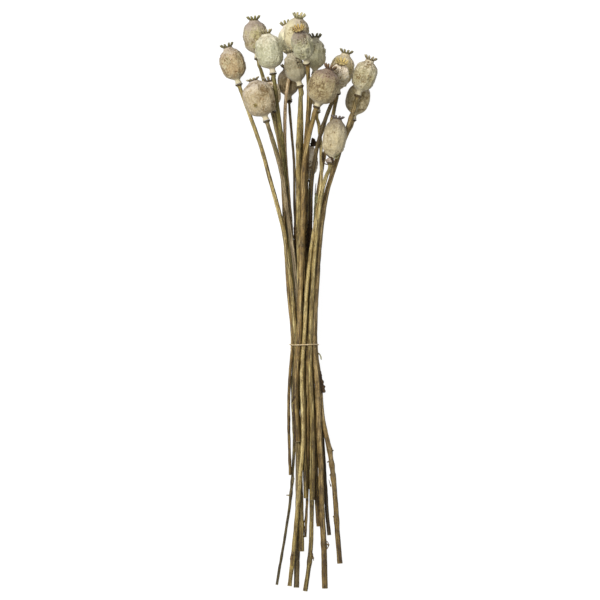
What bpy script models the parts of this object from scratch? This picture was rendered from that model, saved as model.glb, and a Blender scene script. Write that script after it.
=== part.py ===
"""A tied bunch of nineteen dried poppy seed heads, lying on a table.

Every poppy is a seed head (neck, ribbed capsule and rayed crown) and a stem (with the dark
ring under the head, swollen leaf joints and stubs of broken leaf stalks). One thin elastic
band holds the stems together. The bunch lies along +Y, heads at +Y, table at Z = 0.

Layout values are in millimetres; meshes are made in metres.
"""

import math
from dataclasses import dataclass

import bmesh
import bpy
import numpy as np
from mathutils import Matrix, Vector

MM = 0.001
BUNCH = "poppy_seed_heads"
GAP = 0.3                 # clear space left between pieces that touch
STEP = 4.0                # distance between the cross sections used to lay the stems
SPARE = 0.55              # clearance asked for while the stems are laid
FLAT_DEPTH = 0.5          # how far a resting capsule is pressed flat by the table
HEAD_YIELD = (0.22, 1.0)  # how readily heads give way, sideways and upwards
STEM_YIELD = (0.8, 1.0)

TIE_CENTRE = (5.8, -48.0, 20.0)
TIE_PITCH = 5.95          # spacing of the stems where they are tied
TIE_ROWS = (3, 4, 5, 4, 3)
TIE_THICKNESS = 1.3
WAIST_RADIUS = 15.4       # radius of the bundle under the band
WAIST_REACH = 9.0         # half the length that the band draws in

COLLAR_RADIUS = 4.2       # dark ring where the neck meets the stem
COLLAR_LENGTH = 3.6
NECK_RADIUS = 2.9
CROWN_NECK = 4.9          # waist between capsule and crown
CROWN_RADIUS = 7.5
CROWN_RISE = 4.5
RIB_DEPTH = 0.018
# The capsule between neck and crown: share of its height, share of its radius.
CAPSULE_SHAPE = ((0.035, 0.50), (0.17, 0.86), (0.40, 1.0), (0.66, 0.97), (0.86, 0.76))
STRAIGHT = 9.0            # stretch under the ring that runs on in line with the head
STEM_SIDES_RESOLUTION = 1  # bevel resolution 1 gives a six-sided stem
RING_STAND = 1.9          # how far the dark ring stands out of the stem
JOINT_SWELL = 0.55        # how much thicker a stem is at a leaf joint
JOINT_REACH = 6.0         # half the length of that swelling
STUB_TIP = 0.42           # width of a stub's tip against its root
STUB_LEAN = 0.45          # how far a stub leans on towards the head

TIE_POINTS = 40
TIE_SPARE = 0.12          # extra space between the band and the outermost stems
ROUND = 32                # points round a stem where the band is laid on it

SETTLE_ROUNDS = 1600
SETTLE_ENOUGH = 0.08      # the bunch is settled when no clearance lacks more than this
SETTLE_EARLIEST = 400
SETTLE_TAKE = 0.45        # share of each push that one round carries out
SETTLE_HOLD = 0.012       # pull back to the route as laid, which fades out
HEAD_SHARE = 0.25         # share of a push that a head takes from a stem
BAND_PULL = 0.6
HEAD_FOLLOW = 0.2         # how quickly a whole head follows its pushed sections
TABLE_SPARE = 0.02


@dataclass(frozen=True)
class Poppy:
    """One poppy of the bunch: its head, and the way its stem runs."""

    name: str
    centre: tuple          # middle of the capsule
    lean: float            # degrees from +Y towards +X
    rise: float            # degrees the crown points up from the table
    width: float           # capsule width
    height: float          # capsule height without neck and crown
    rays: int
    top: float             # stem diameter under the ring
    foot: float            # stem diameter at the cut end
    slot: tuple            # row and column in the tied bundle
    route: tuple           # stem from the ring to the band
    tail: tuple            # stem from the band to the cut end
    neck: float = 6.6
    crown: float = 1.0     # size of the crown against the usual one
    rests: bool = False    # pressed flat on the table


POPPIES = (
    Poppy("01", (-49, 299, 22), -6, 4, 28.5, 35, 10, 4.4, 3.1, (3, 0),
          ((-43, 261, 13), (-40, 253, 9), (-35, 232, 4), (-26, 199, 4), (-18, 154, 5),
           (-15, 115, 6), (-12, 58, 9)),
          ((-8, -93, 13), (-6, -133, 10), (-4, -162, 8), (-7, -191, 6), (-9, -223, 4),
           (-13, -249, 3), (-25, -319, 1.6))),
    Poppy("02", (-75, 269, 14.5), -17, 0, 29, 35, 10, 4.5, 5.8, (1, 0),
          ((-56, 213, 16), (-40, 168, 20), (-29, 123, 24), (-17, 84, 28), (-13, 51, 28),
           (-8, 16, 26)),
          ((-2, -110, 20), (0, -166, 15), (2, -219, 11), (3, -281, 9)), rests=True),
    Poppy("03", (-31.7, 282, 52), -10, 3, 31.5, 37, 11, 4.7, 5.2, (3, 1),
          ((-25, 250, 46), (-22, 208, 36), (-16, 166, 25), (-14, 125, 17), (-9, 58, 14)),
          ((2, -110, 12), (6, -189, 8))),
    Poppy("04", (-11.5, 295, 15), -14, -15, 27, 34, 10, 4.6, 5.3, (2, 2),
          ((-1, 250, 26), (1, 227, 27), (2, 171, 26), (2, 115, 24), (2, 47, 21)),
          ((11, -110, 15), (12, -166, 11), (13, -229, 7), (13, -268, 5), (11, -295, 4),
           (6, -326, 2.7))),
    Poppy("05", (-3.2, 301.5, 43), 8, 20, 28.5, 36, 10, 3.8, 5.0, (4, 0),
          ((-9, 266, 31), (-13, 250, 29), (-16, 228, 27), (-16.5, 206, 24), (-16, 163, 15),
           (-12, 126, 11), (-7, 58, 9)),
          ((-2, -110, 7), (0, -200, 4))),
    Poppy("06", (0, 288, 78), -14, 32, 26, 35, 11, 4.8, 3.0, (1, 2),
          ((9, 250, 52), (9, 232, 43), (8, 206, 35), (5, 174, 29), (3, 115, 27), (4, 47, 26)),
          ((10, -110, 19), (10, -165, 14), (10, -200, 11), (9, -229, 9), (7, -265, 8))),
    Poppy("07", (18, 280, 15), 0, -12, 26, 33, 10, 4.6, 5.4, (4, 2),
          ((16, 245, 25), (13, 230, 28), (10, 206, 27), (9, 160, 21), (8, 103, 14)),
          ((16, -110, 6), (21, -187, 4))),
    Poppy("08", (-5.5, 264, 51), -16, 4, 25, 31, 10, 5.2, 5.0, (1, 1),
          ((0, 238, 46), (-1, 196, 39), (-1, 168, 32), (-1, 130, 30), (0, 70, 28)),
          ((6, -93, 22), (6, -138, 19), (7, -192, 16), (8, -221, 15))),
    Poppy("09", (-44, 229, 50), -18, 2, 35.5, 39, 11, 5.2, 6.4, (2, 1),
          ((-37, 201, 43), (-26, 172, 38), (-17, 142, 31), (-15, 115, 25), (-8, 70, 19),
           (-3, 28, 19)),
          ((-1, -110, 15), (1, -189, 9), (0, -253, 5), (-1, -290, 4), (-2, -322, 3.2))),
    Poppy("10", (50, 262, 14), 14, 0, 28, 35, 10, 4.6, 4.5, (3, 3),
          ((36, 228, 14), (29, 204, 16), (17, 156, 18), (14, 132, 17), (13, 70, 15)),
          ((22, -93, 11), (26, -144, 7), (29, -192, 4), (31, -235, 3), (34, -263, 2.5)),
          rests=True),
    Poppy("11", (45.5, 254, 39), 8, 33, 25.4, 30, 9, 4.4, 5.0, (2, 3),
          ((40, 228, 22), (37, 205, 18), (30, 175, 14), (26, 154, 13), (19, 115, 14),
           (16, 47, 18)),
          ((16, -110, 13), (18, -166, 9), (19, -217, 6), (22, -253, 4))),
    Poppy("12", (27, 242, 63), 19, 6, 36, 38, 11, 5.6, 6.2, (0, 0),
          ((15, 206, 54), (8, 178, 47), (4, 152, 42), (4, 126, 39), (5, 99, 37), (3, 70, 35),
           (1, 13, 32)),
          ((-3, -71, 28), (-4, -110, 26), (0, -157, 24)), neck=5.0),
    Poppy("13", (74, 255, 35), 19, 3, 27, 34, 10, 5.0, 6.8, (1, 3),
          ((62, 214, 31), (48, 180, 26), (43, 157, 25), (30, 125, 24), (25, 92, 24),
           (21, 52, 24), (19, 2, 25)),
          ((19, -71, 23), (22, -92, 21), (22, -133, 17), (25, -180, 12), (25, -234, 9),
           (28, -273, 6), (29, -323, 4))),
    Poppy("14", (64.7, 229.5, 13.3), 14, 0, 27, 34, 9, 4.8, 6.0, (2, 4),
          ((57, 201, 13), (46, 177, 14), (37, 150, 15), (29, 119, 16), (24, 81, 18),
           (20, 25, 19)),
          ((24, -84, 18), (25, -132, 13), (32, -155, 10), (36, -172, 8), (39, -200, 6),
           (42, -236, 4), (43, -262, 3.5), (46, -295, 3.0)),
          rests=True),
    Poppy("15", (40, 185, 41), 9, 3, 27, 40, 10, 4.6, 5.4, (0, 2),
          ((30, 152, 38), (27, 137, 35), (21, 98, 31), (16, 47, 30)),
          ((13, -93, 25), (15, -138, 20), (16, -168, 18), (16, -192, 16), (15, -223, 14)),
          neck=8.5),
    Poppy("16", (-30.5, 235, 23), -10, 0, 20.5, 27, 9, 4.0, 3.5, (2, 0),
          ((-27, 205, 18), (-20, 165, 13), (-18, 126, 11), (-16, 70, 13), (-14, 36, 16),
           (-12, 2, 18)),
          ((-11, -71, 19), (-12, -110, 16), (-12, -144, 13), (-10, -195, 10))),
    Poppy("17", (-12, 248, 12.2), -3, -4, 23.5, 29, 9, 3.0, 3.6, (3, 2),
          ((-9, 196, 11), (-4, 152, 10), (-6, 120, 10), (-2, 58, 12)),
          ((10, -110, 12), (11, -189, 9))),
    Poppy("18", (13.5, 159, 8.8), 2, 1, 17.0, 32, 8, 3.4, 4.2, (4, 1),
          ((12, 130, 7), (12, 98, 7), (9, 47, 8)),
          ((8, -110, 6), (10, -211, 4)), neck=4.5, crown=0.62),
    Poppy("19", (22, 236, 11.6), 4, 0, 22, 29, 9, 4.0, 4.9, (0, 1),
          ((24, 196, 14), (25, 170, 19), (26, 142, 23), (25, 117, 25), (19, 88, 28),
           (14, 61, 30), (10, 25, 31), (7, -9, 31)),
          ((2, -63, 30), (2, -84, 28), (3, -114, 25), (4, -156, 22), (1, -192, 19),
           (-1, -219, 17), (-4, -253, 15), (-7, -285, 13), (-11, -320, 12)), neck=6.0),
)

# Leaf joints with the stub of a broken stalk: poppy, place along Y, direction in degrees from
# +X towards +Z, length.
STUBS = (
    ("01", -217, 200, 4.0), ("01", -203, 30, 1.6), ("02", -252, 170, 1.6),
    ("13", -273, 10, 4.2), ("13", -113, 20, 2.6), ("14", -166, 350, 2.2),
    ("14", -185, 160, 3.4), ("14", -199, 190, 2.0), ("14", -246, 170, 2.0),
    ("04", -293, 5, 3.2), ("13", 206, 20, 2.2), ("19", -289, 100, 2.0),
    ("09", -114, 160, 2.4), ("12", 60, 80, 1.6), ("10", 196, 60, 1.8),
)

# Leaf joints with no stub left: poppy, place along Y.
JOINTS = (("03", 188), ("08", 176), ("15", 117), ("16", 145))


@dataclass(frozen=True)
class Finish:
    """Colour and gloss of one kind of surface."""

    colour: tuple
    roughness: float
    metallic: float = 0.0


CAPSULE_BEIGE = Finish((0.56, 0.47, 0.34), 0.85)
CAPSULE_GREEN = Finish((0.52, 0.50, 0.37), 0.85)
STEM_OCHRE = Finish((0.33, 0.22, 0.09), 0.70)
STEM_DARK = Finish((0.16, 0.11, 0.05), 0.75)
TIE_TAN = Finish((0.55, 0.42, 0.25), 0.55)
GREEN_HEADS = ("03", "06", "07", "08", "11")
DARK_STEMS = ("01", "06", "10", "17")


def axis_of(poppy):
    """Unit vector from the ring through the middle of the head."""
    lean = math.radians(poppy.lean)
    rise = math.radians(poppy.rise)
    return Vector((math.sin(lean) * math.cos(rise), math.cos(lean) * math.cos(rise), math.sin(rise)))


def head_profile(poppy):
    """Rings of the head as (height, rib radius, furrow radius, furrow drop), from neck to crown."""
    radius = poppy.width / 2
    height = poppy.height
    base = poppy.neck
    top = base + height
    waist = CROWN_NECK * poppy.crown
    tip = CROWN_RADIUS * poppy.crown
    rise = CROWN_RISE * poppy.crown
    slim = NECK_RADIUS * 0.92
    shoulder = (waist + radius * 0.42) / 2
    rings = [(0.0, NECK_RADIUS, NECK_RADIUS, 0.0), (base * 0.72, slim, slim, 0.0)]
    for share, wide in CAPSULE_SHAPE:
        rib = radius * wide
        rings.append((base + height * share, rib * (1 + RIB_DEPTH), rib * (1 - RIB_DEPTH), 0.0))
    rings.append((top - height * 0.03, shoulder, shoulder, 0.0))
    rings.append((top + 0.6 * poppy.crown, waist, waist * 0.95, 0.0))
    rings.append((top + rise * 0.72, tip, waist * 1.08, rise * 0.25))
    rings.append((top + rise * 1.15, tip * 0.97, waist * 0.9, rise * 0.42))
    rings.append((top + rise * 0.75, waist * 0.8, waist * 0.7, rise * 0.1))
    return rings


def head_length(poppy):
    """Distance from the ring to the middle of the capsule."""
    return poppy.neck + poppy.height / 2


def head_frame(poppy, collar):
    """Matrix that carries the head's own Z axis onto its direction, at the ring, in mm."""
    turn = axis_of(poppy).to_track_quat("Z", "Y").to_matrix().to_4x4()
    return Matrix.Translation(collar) @ turn


def lowest_corner(poppy, collar):
    """Height over the table of the lowest corner of a head."""
    frame = head_frame(poppy, collar)
    low = math.inf
    for height, rib, furrow, drop in head_profile(poppy):
        for k in range(2 * poppy.rays):
            angle = math.pi * k / poppy.rays
            radius, sunk = (furrow, drop) if k % 2 else (rib, 0.0)
            corner = frame @ Vector((radius * math.cos(angle), radius * math.sin(angle), height - sunk))
            low = min(low, corner.z)
    return low


def collar_point(poppy):
    """Centre of the ring under the head, in mm. A head that rests is let down on the table."""
    collar = Vector(poppy.centre) - axis_of(poppy) * head_length(poppy)
    if poppy.rests:
        collar.z -= lowest_corner(poppy, collar) + FLAT_DEPTH
    return collar


def slot_point(slot):
    """Where a stem crosses the band, for its row (0 on top) and column."""
    row, column = slot
    rows = len(TIE_ROWS)
    count = TIE_ROWS[row]
    x = TIE_CENTRE[0] + (column - (count - 1) / 2) * TIE_PITCH
    z = TIE_CENTRE[2] + ((rows - 1) / 2 - row) * TIE_PITCH * math.sqrt(3) / 2
    return (x, TIE_CENTRE[1], z)


def smooth_through(y, points):
    """Smooth x and z along y through the given points.

    Straight pieces between the points are averaged over a few cross sections.
    """
    ordered = sorted(points, key=lambda point: point[1])
    knots = np.array(ordered, dtype=float)
    half = 4
    before = y[0] + STEP * np.arange(-3 * half, 0)
    after = y[-1] + STEP * np.arange(1, 3 * half + 1)
    wide = np.concatenate([before, y, after])
    result = []
    for column in (0, 2):
        low = (knots[1, column] - knots[0, column]) / (knots[1, 1] - knots[0, 1])
        high = (knots[-1, column] - knots[-2, column]) / (knots[-1, 1] - knots[-2, 1])
        values = np.interp(wide, knots[:, 1], knots[:, column])
        values = np.where(wide < knots[0, 1], knots[0, column] + low * (wide - knots[0, 1]), values)
        values = np.where(wide > knots[-1, 1], knots[-1, column] + high * (wide - knots[-1, 1]), values)
        kernel = np.ones(2 * half + 1) / (2 * half + 1)
        for _ in range(2):
            values = np.convolve(np.pad(values, half, mode="edge"), kernel, mode="valid")
        result.append(values[3 * half:3 * half + len(y)])
    return np.stack(result, axis=1)


def head_sections(poppy, collar, y):
    """Circles round the head's cross sections: centre (x, z) and radius at each y."""
    frame = head_frame(poppy, collar)
    angles = np.linspace(0, 2 * math.pi, 24, endpoint=False)
    rings = head_profile(poppy)
    heights = [ring[0] for ring in rings]
    radii = [max(ring[1], ring[2]) for ring in rings]
    fine = np.linspace(0, heights[-2], 40)
    wide = np.interp(fine, heights[:-1], radii[:-1])
    points = np.empty((len(angles), len(fine), 3))
    for i, angle in enumerate(angles):
        for j, (height, radius) in enumerate(zip(fine, wide)):
            local = Vector((radius * math.cos(angle), radius * math.sin(angle), height))
            points[i, j] = frame @ local
    centres = np.zeros((len(y), 2))
    sizes = np.zeros(len(y))
    first, second = points[:, :-1], points[:, 1:]
    for k, level in enumerate(y):
        crosses = (first[:, :, 1] - level) * (second[:, :, 1] - level) <= 0
        if not crosses.any():
            continue
        a, b = first[crosses], second[crosses]
        run = np.where(np.abs(b[:, 1] - a[:, 1]) < 1e-9, 1e-9, b[:, 1] - a[:, 1])
        hit = a + (b - a) * np.clip((level - a[:, 1]) / run, 0, 1)[:, None]
        flat = hit[:, [0, 2]]
        middle = (flat.min(axis=0) + flat.max(axis=0)) / 2
        centres[k] = middle
        sizes[k] = np.sqrt(((flat - middle) ** 2).sum(axis=1)).max()
    return centres, sizes


def joint_places(poppy):
    """Places along Y of a stem's swollen leaf joints."""
    return [joint[1] for joint in STUBS + JOINTS if joint[0] == poppy.name]


def stem_radius(poppy, y, low, high):
    """Stem radius at y: an even taper between the cut end and the ring."""
    share = np.clip((y - low) / (high - low), 0, 1)
    return (poppy.foot * (1 - share) + poppy.top * share) / 2


class Bunch:
    """The stems and heads laid side by side without crossing."""

    def __init__(self, poppies):
        self.poppies = poppies
        self.y = np.arange(-332.0, 356.0, STEP)
        count, levels = len(poppies), len(self.y)
        self.place = np.zeros((count, levels, 2))
        self.radius = np.zeros((count, levels))
        self.is_head = np.zeros((count, levels), dtype=bool)
        self.is_stem = np.zeros((count, levels), dtype=bool)
        self.feet = [poppy.tail[-1][1] for poppy in poppies]
        self.shift = np.zeros((count, levels, 2))
        self.collars = [collar_point(poppy) for poppy in poppies]
        for i, poppy in enumerate(poppies):
            self._lay_stem(i, poppy)
            self._lay_head(i, poppy)
        self.give = np.where(self.is_head[..., None], HEAD_YIELD, STEM_YIELD)

    def _lay_stem(self, i, poppy):
        """Cross sections of a stem along its route, through the band to the cut end."""
        collar = self.collars[i]
        straight = collar - axis_of(poppy) * STRAIGHT
        route = [point for point in poppy.route if point[1] < straight.y - 6]
        points = [tuple(collar), tuple(straight), *route, slot_point(poppy.slot), *poppy.tail]
        self.place[i] = smooth_through(self.y, points)
        self.is_stem[i] = (self.y <= collar.y + STEP) & (self.y >= self.feet[i] - STEP)
        radius = stem_radius(poppy, self.y, self.feet[i], collar.y)
        near = np.abs(self.y - collar.y) < COLLAR_LENGTH + STEP
        radius = np.where(near, COLLAR_RADIUS, radius)
        for place in joint_places(poppy):
            radius = np.where(np.abs(self.y - place) < JOINT_REACH + 1, radius + JOINT_SWELL, radius)
        self.radius[i] = np.where(self.is_stem[i], radius, 0)

    def _lay_head(self, i, poppy):
        """Cross sections of a head, over those of its own stem."""
        centres, sizes = head_sections(poppy, self.collars[i], self.y)
        head = sizes > self.radius[i]
        self.is_head[i] = (sizes > 0) & head
        self.place[i] = np.where(self.is_head[i][:, None], centres, self.place[i])
        self.radius[i] = np.where(self.is_head[i], sizes, self.radius[i])

    def _pushes(self, slope):
        """How far each cross section must move to clear its neighbours."""
        spot = self.place + self.shift
        size = np.where(self.is_head, self.radius, self.radius * slope)
        there = self.radius > 0
        apart = spot[:, None] - spot[None, :]
        distance = np.sqrt((apart ** 2).sum(axis=-1))
        need = size[:, None] + size[None, :] + SPARE
        both = there[:, None] & there[None, :]
        lack = np.where(both, np.maximum(need - distance, 0), 0)
        own = np.arange(len(self.poppies))
        lack[own, own] = 0
        weight = np.where(self.is_head, HEAD_SHARE, 1.0)
        share = weight[:, None] / (weight[:, None] + weight[None, :])
        unit = apart / np.maximum(distance, 1e-6)[..., None]
        move = (unit * (lack * share)[..., None]).sum(axis=1)
        return move * self.give, lack, size

    def _inside_band(self, move, size):
        """Draws the stems together under the band."""
        near = np.abs(self.y - TIE_CENTRE[1]) < WAIST_REACH
        centre = np.array([TIE_CENTRE[0], TIE_CENTRE[2]])
        away = self.place + self.shift - centre
        distance = np.sqrt((away ** 2).sum(axis=-1))
        over = np.maximum(distance + size - WAIST_RADIUS, 0) * near
        move -= away / np.maximum(distance, 1e-6)[..., None] * over[..., None] * BAND_PULL

    def _above_table(self, move, size):
        """Lifts what would sink into the table."""
        height = (self.place + self.shift)[:, :, 1]
        low = np.where(self.radius > 0, np.maximum(size + TABLE_SPARE - height, 0), 0)
        move[:, :, 1] += low

    def settle(self):
        """Moves the cross sections apart little by little, keeping every stem smooth."""
        for turn in range(SETTLE_ROUNDS):
            slope = self.slant()
            move, lack, size = self._pushes(slope)
            self._inside_band(move, size)
            self._above_table(move, size)
            hold = SETTLE_HOLD * max(0.0, 1 - 1.5 * turn / SETTLE_ROUNDS)
            self.shift += SETTLE_TAKE * move - hold * self.shift
            for i, poppy in enumerate(self.poppies):
                self._keep_smooth(i, poppy, move)
            if turn > SETTLE_EARLIEST and lack.max() < SETTLE_ENOUGH:
                break

    def slant(self):
        """How much a slanting stem's cross section is longer than its radius."""
        spot = self.place + self.shift
        step = np.gradient(spot, STEP, axis=1)
        return np.sqrt(1 + (step ** 2).sum(axis=-1)).clip(1, 1.25)

    def _keep_smooth(self, i, poppy, move):
        """Moves a head as one piece, and smooths its stem below it."""
        head = self.is_head[i] | (self.y > self.collars[i].y - 2 * STEP)
        used = head & (self.radius[i] > 0)
        pushed = used & (np.abs(move[i]).sum(axis=1) > 1e-4)
        start = self.shift[i][used].mean(axis=0)
        if pushed.any():
            start = start + HEAD_FOLLOW * (self.shift[i][pushed].mean(axis=0) - start)
        if poppy.rests:
            start[1] = 0
        self.shift[i][head] = start
        line = self.shift[i]
        stem = ~head
        for _ in range(2):
            soft = line.copy()
            soft[1:-1] = 0.25 * line[:-2] + 0.5 * line[1:-1] + 0.25 * line[2:]
            soft[0] = soft[1]
            line[stem] = soft[stem]

    def route(self, i):
        """Centre line of a stem from the cut end to a little under the ring, in mm."""
        collar = self.collar(i)
        low, high = self.feet[i], collar.y - STRAIGHT
        spot = self.place[i] + self.shift[i]
        levels = np.arange(low, high, STEP)
        x = np.interp(levels, self.y, spot[:, 0])
        z = np.interp(levels, self.y, spot[:, 1])
        return np.stack([x, levels, z], axis=1)

    def collar(self, i):
        """Centre of the ring under the head, after the bunch has settled."""
        shift = self.shift[i][self.is_head[i]][0]
        return self.collars[i] + Vector((shift[0], 0, shift[1]))


def thin_out(points, tolerance):
    """Keeps the points that a line needs to stay within the tolerance."""
    keep = [0, len(points) - 1]
    spans = [(0, len(points) - 1)]
    while spans:
        first, last = spans.pop()
        if last - first < 2:
            continue
        a, b = points[first], points[last]
        line = (b - a) / np.linalg.norm(b - a)
        inner = points[first + 1:last] - a
        off = np.linalg.norm(inner - np.outer(inner @ line, line), axis=1)
        worst = int(off.argmax())
        if off[worst] > tolerance or last - first > 20:
            middle = first + 1 + worst if off[worst] > tolerance else (first + last) // 2
            keep.append(middle)
            spans += [(first, middle), (middle, last)]
    return points[sorted(keep)]


def stem_line(bunch, i):
    """Points (x, y, z, radius) along a stem, with its joints and its dark ring."""
    poppy = bunch.poppies[i]
    collar = bunch.collar(i)
    axis = axis_of(poppy)
    route = bunch.route(i)
    low, high = route[0, 1], collar.y
    joints = [place for place in joint_places(poppy) if low + 8 < place < route[-1, 1] - 8]
    plain = [point for point in thin_out(route, 0.16)
             if all(abs(point[1] - place) > JOINT_REACH + 1.5 for place in joints)]
    line = [(*point, float(stem_radius(poppy, point[1], low, high))) for point in plain]
    for place in joints:
        for offset, swell in ((-JOINT_REACH, 0.0), (0.0, JOINT_SWELL), (JOINT_REACH, 0.0)):
            y = place + offset
            x = float(np.interp(y, route[:, 1], route[:, 0]))
            z = float(np.interp(y, route[:, 1], route[:, 2]))
            line.append((x, y, z, float(stem_radius(poppy, y, low, high)) + swell))
    line.sort(key=lambda point: point[1])
    slim = poppy.top / 2
    ring = min(COLLAR_RADIUS, slim + RING_STAND)
    for back, radius in ((COLLAR_LENGTH, slim), (2.5, ring), (1.1, ring * 1.02), (GAP, ring * 0.86)):
        spot = collar - axis * back
        line.append((*spot, radius))
    return line


def new_collection(name):
    """A collection linked to the scene."""
    collection = bpy.data.collections.new(name)
    bpy.context.scene.collection.children.link(collection)
    return collection


def new_material(name, finish):
    """A Principled material with one finish."""
    material = bpy.data.materials.new(name)
    material.use_nodes = True
    shader = material.node_tree.nodes["Principled BSDF"]
    shader.inputs["Base Color"].default_value = (*finish.colour, 1)
    shader.inputs["Roughness"].default_value = finish.roughness
    shader.inputs["Metallic"].default_value = finish.metallic
    return material


def evaluated_mesh(thing):
    """The object's mesh after its modifiers or its bevel."""
    graph = bpy.context.evaluated_depsgraph_get()
    return bpy.data.meshes.new_from_object(thing.evaluated_get(graph))


def tube(name, points, collection, cyclic=False):
    """A tube with its own radius at each point, as one closed mesh."""
    data = bpy.data.curves.new(name, "CURVE")
    data.dimensions = "3D"
    data.bevel_depth = MM
    data.bevel_resolution = STEM_SIDES_RESOLUTION
    data.use_fill_caps = not cyclic
    spline = data.splines.new("POLY")
    spline.points.add(len(points) - 1)
    spline.use_cyclic_u = cyclic
    for spot, (x, y, z, radius) in zip(spline.points, points):
        spot.co = (x * MM, y * MM, z * MM, 1)
        spot.radius = radius
    guide = bpy.data.objects.new(name + "_guide", data)
    collection.objects.link(guide)
    mesh = evaluated_mesh(guide)
    bpy.data.objects.remove(guide)
    mesh.name = name
    return mesh


def clean(form):
    """Welds the caps and turns every face outwards."""
    bmesh.ops.remove_doubles(form, verts=form.verts, dist=1e-6)
    bmesh.ops.recalc_face_normals(form, faces=form.faces)


def add_stub(form, spot, direction, length):
    """Draws the broken stalk out of the side of a stem."""
    aim = Vector((math.cos(direction), 0, math.sin(direction)))
    near = [face for face in form.faces
            if abs(face.calc_center_median().y - spot.y) < 8 * MM and len(face.verts) == 4]
    face = max(near, key=lambda one: one.normal.dot(aim))
    lifted = bmesh.ops.extrude_discrete_faces(form, faces=[face])["faces"][0]
    centre = lifted.calc_center_median()
    reach = (aim * 0.8 + Vector((0, STUB_LEAN, 0))).normalized() * length * MM
    for vert in lifted.verts:
        vert.co = centre + (vert.co - centre) * STUB_TIP + reach


def make_stem(bunch, i, collection):
    """One stem with its joints, stubs and ring."""
    poppy = bunch.poppies[i]
    name = "stem_" + poppy.name
    line = stem_line(bunch, i)
    mesh = tube(name, line, collection)
    form = bmesh.new()
    form.from_mesh(mesh)
    clean(form)
    for owner, place, degrees, length in STUBS:
        if owner != poppy.name:
            continue
        y = min(max(place, line[0][1] + 10), line[-1][1] - 20)
        add_stub(form, Vector((0, (y + 3) * MM, 0)), math.radians(degrees), length)
    form.to_mesh(mesh)
    form.free()
    stem = bpy.data.objects.new(name, mesh)
    collection.objects.link(stem)
    finish = STEM_DARK if poppy.name in DARK_STEMS else STEM_OCHRE
    mesh.materials.clear()
    mesh.materials.append(new_material(name + "_bark", finish))
    return stem


def turned_blank(name, rings, steps, collection):
    """The head's profile turned round its axis, from the crown down to the neck."""
    top = rings[-1][0] - rings[-1][3] - 0.4
    outline = [(0.0, top)] + [(rib, height) for height, rib, _, _ in reversed(rings)] + [(0.0, 0.0)]
    mesh = bpy.data.meshes.new(name)
    verts = [(radius * MM, 0, height * MM) for radius, height in outline]
    mesh.from_pydata(verts, [(k, k + 1) for k in range(len(verts) - 1)], [])
    blank = bpy.data.objects.new(name, mesh)
    collection.objects.link(blank)
    turn = blank.modifiers.new("turn", "SCREW")
    turn.steps = steps
    turn.render_steps = steps
    turn.use_merge_vertices = True
    turn.merge_threshold = 1e-6
    turned = evaluated_mesh(blank)
    bpy.data.objects.remove(blank)
    return turned


def shape_ribs(form, rings, rays):
    """Sinks the furrows between the ribs and draws the crown out into rays."""
    for vert in form.verts:
        wide = math.hypot(vert.co.x, vert.co.y)
        if wide < 1e-6:
            continue
        turn = math.atan2(vert.co.y, vert.co.x) / (2 * math.pi) * 2 * rays
        if round(turn) % 2 == 0:
            continue
        ring = min(rings, key=lambda one: abs(one[0] * MM - vert.co.z) + abs(one[1] * MM - wide))
        vert.co.x *= ring[2] * MM / wide
        vert.co.y *= ring[2] * MM / wide
        vert.co.z -= ring[3] * MM


def make_head(bunch, i, collection):
    """One seed head: neck, ribbed capsule and crown."""
    poppy = bunch.poppies[i]
    name = "head_" + poppy.name
    rings = head_profile(poppy)
    mesh = turned_blank(name, rings, 2 * poppy.rays, collection)
    form = bmesh.new()
    form.from_mesh(mesh)
    clean(form)
    shape_ribs(form, rings, poppy.rays)
    frame = head_frame(poppy, bunch.collar(i))
    frame.translation *= MM
    bmesh.ops.transform(form, matrix=frame, verts=form.verts)
    if min(vert.co.z for vert in form.verts) < 0:
        press_flat(form)
    bmesh.ops.recalc_face_normals(form, faces=form.faces)
    form.to_mesh(mesh)
    form.free()
    head = bpy.data.objects.new(name, mesh)
    collection.objects.link(head)
    finish = CAPSULE_GREEN if poppy.name in GREEN_HEADS else CAPSULE_BEIGE
    mesh.materials.clear()
    mesh.materials.append(new_material(name + "_skin", finish))
    mesh.shade_smooth()
    mesh.set_sharp_from_angle(angle=math.radians(50))
    return head


def press_flat(form):
    """Cuts a capsule off level with the table, where it lies on it."""
    parts = form.verts[:] + form.edges[:] + form.faces[:]
    cut = bmesh.ops.bisect_plane(form, geom=parts, plane_co=(0, 0, 0), plane_no=(0, 0, -1),
                                 clear_outer=True)
    rim = [part for part in cut["geom_cut"] if isinstance(part, bmesh.types.BMEdge)]
    bmesh.ops.edgeloop_fill(form, edges=rim)


def hull(points):
    """Convex outline round points in a plane, anticlockwise."""
    ordered = sorted(set(points))

    def chain(some):
        path = []
        for point in some:
            while len(path) > 1 and cross(path[-2], path[-1], point) <= 0:
                path.pop()
            path.append(point)
        return path[:-1]

    return chain(ordered) + chain(ordered[::-1])


def cross(a, b, c):
    """Turn from a to b to c: positive to the left."""
    return (b[0] - a[0]) * (c[1] - a[1]) - (b[1] - a[1]) * (c[0] - a[0])


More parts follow.
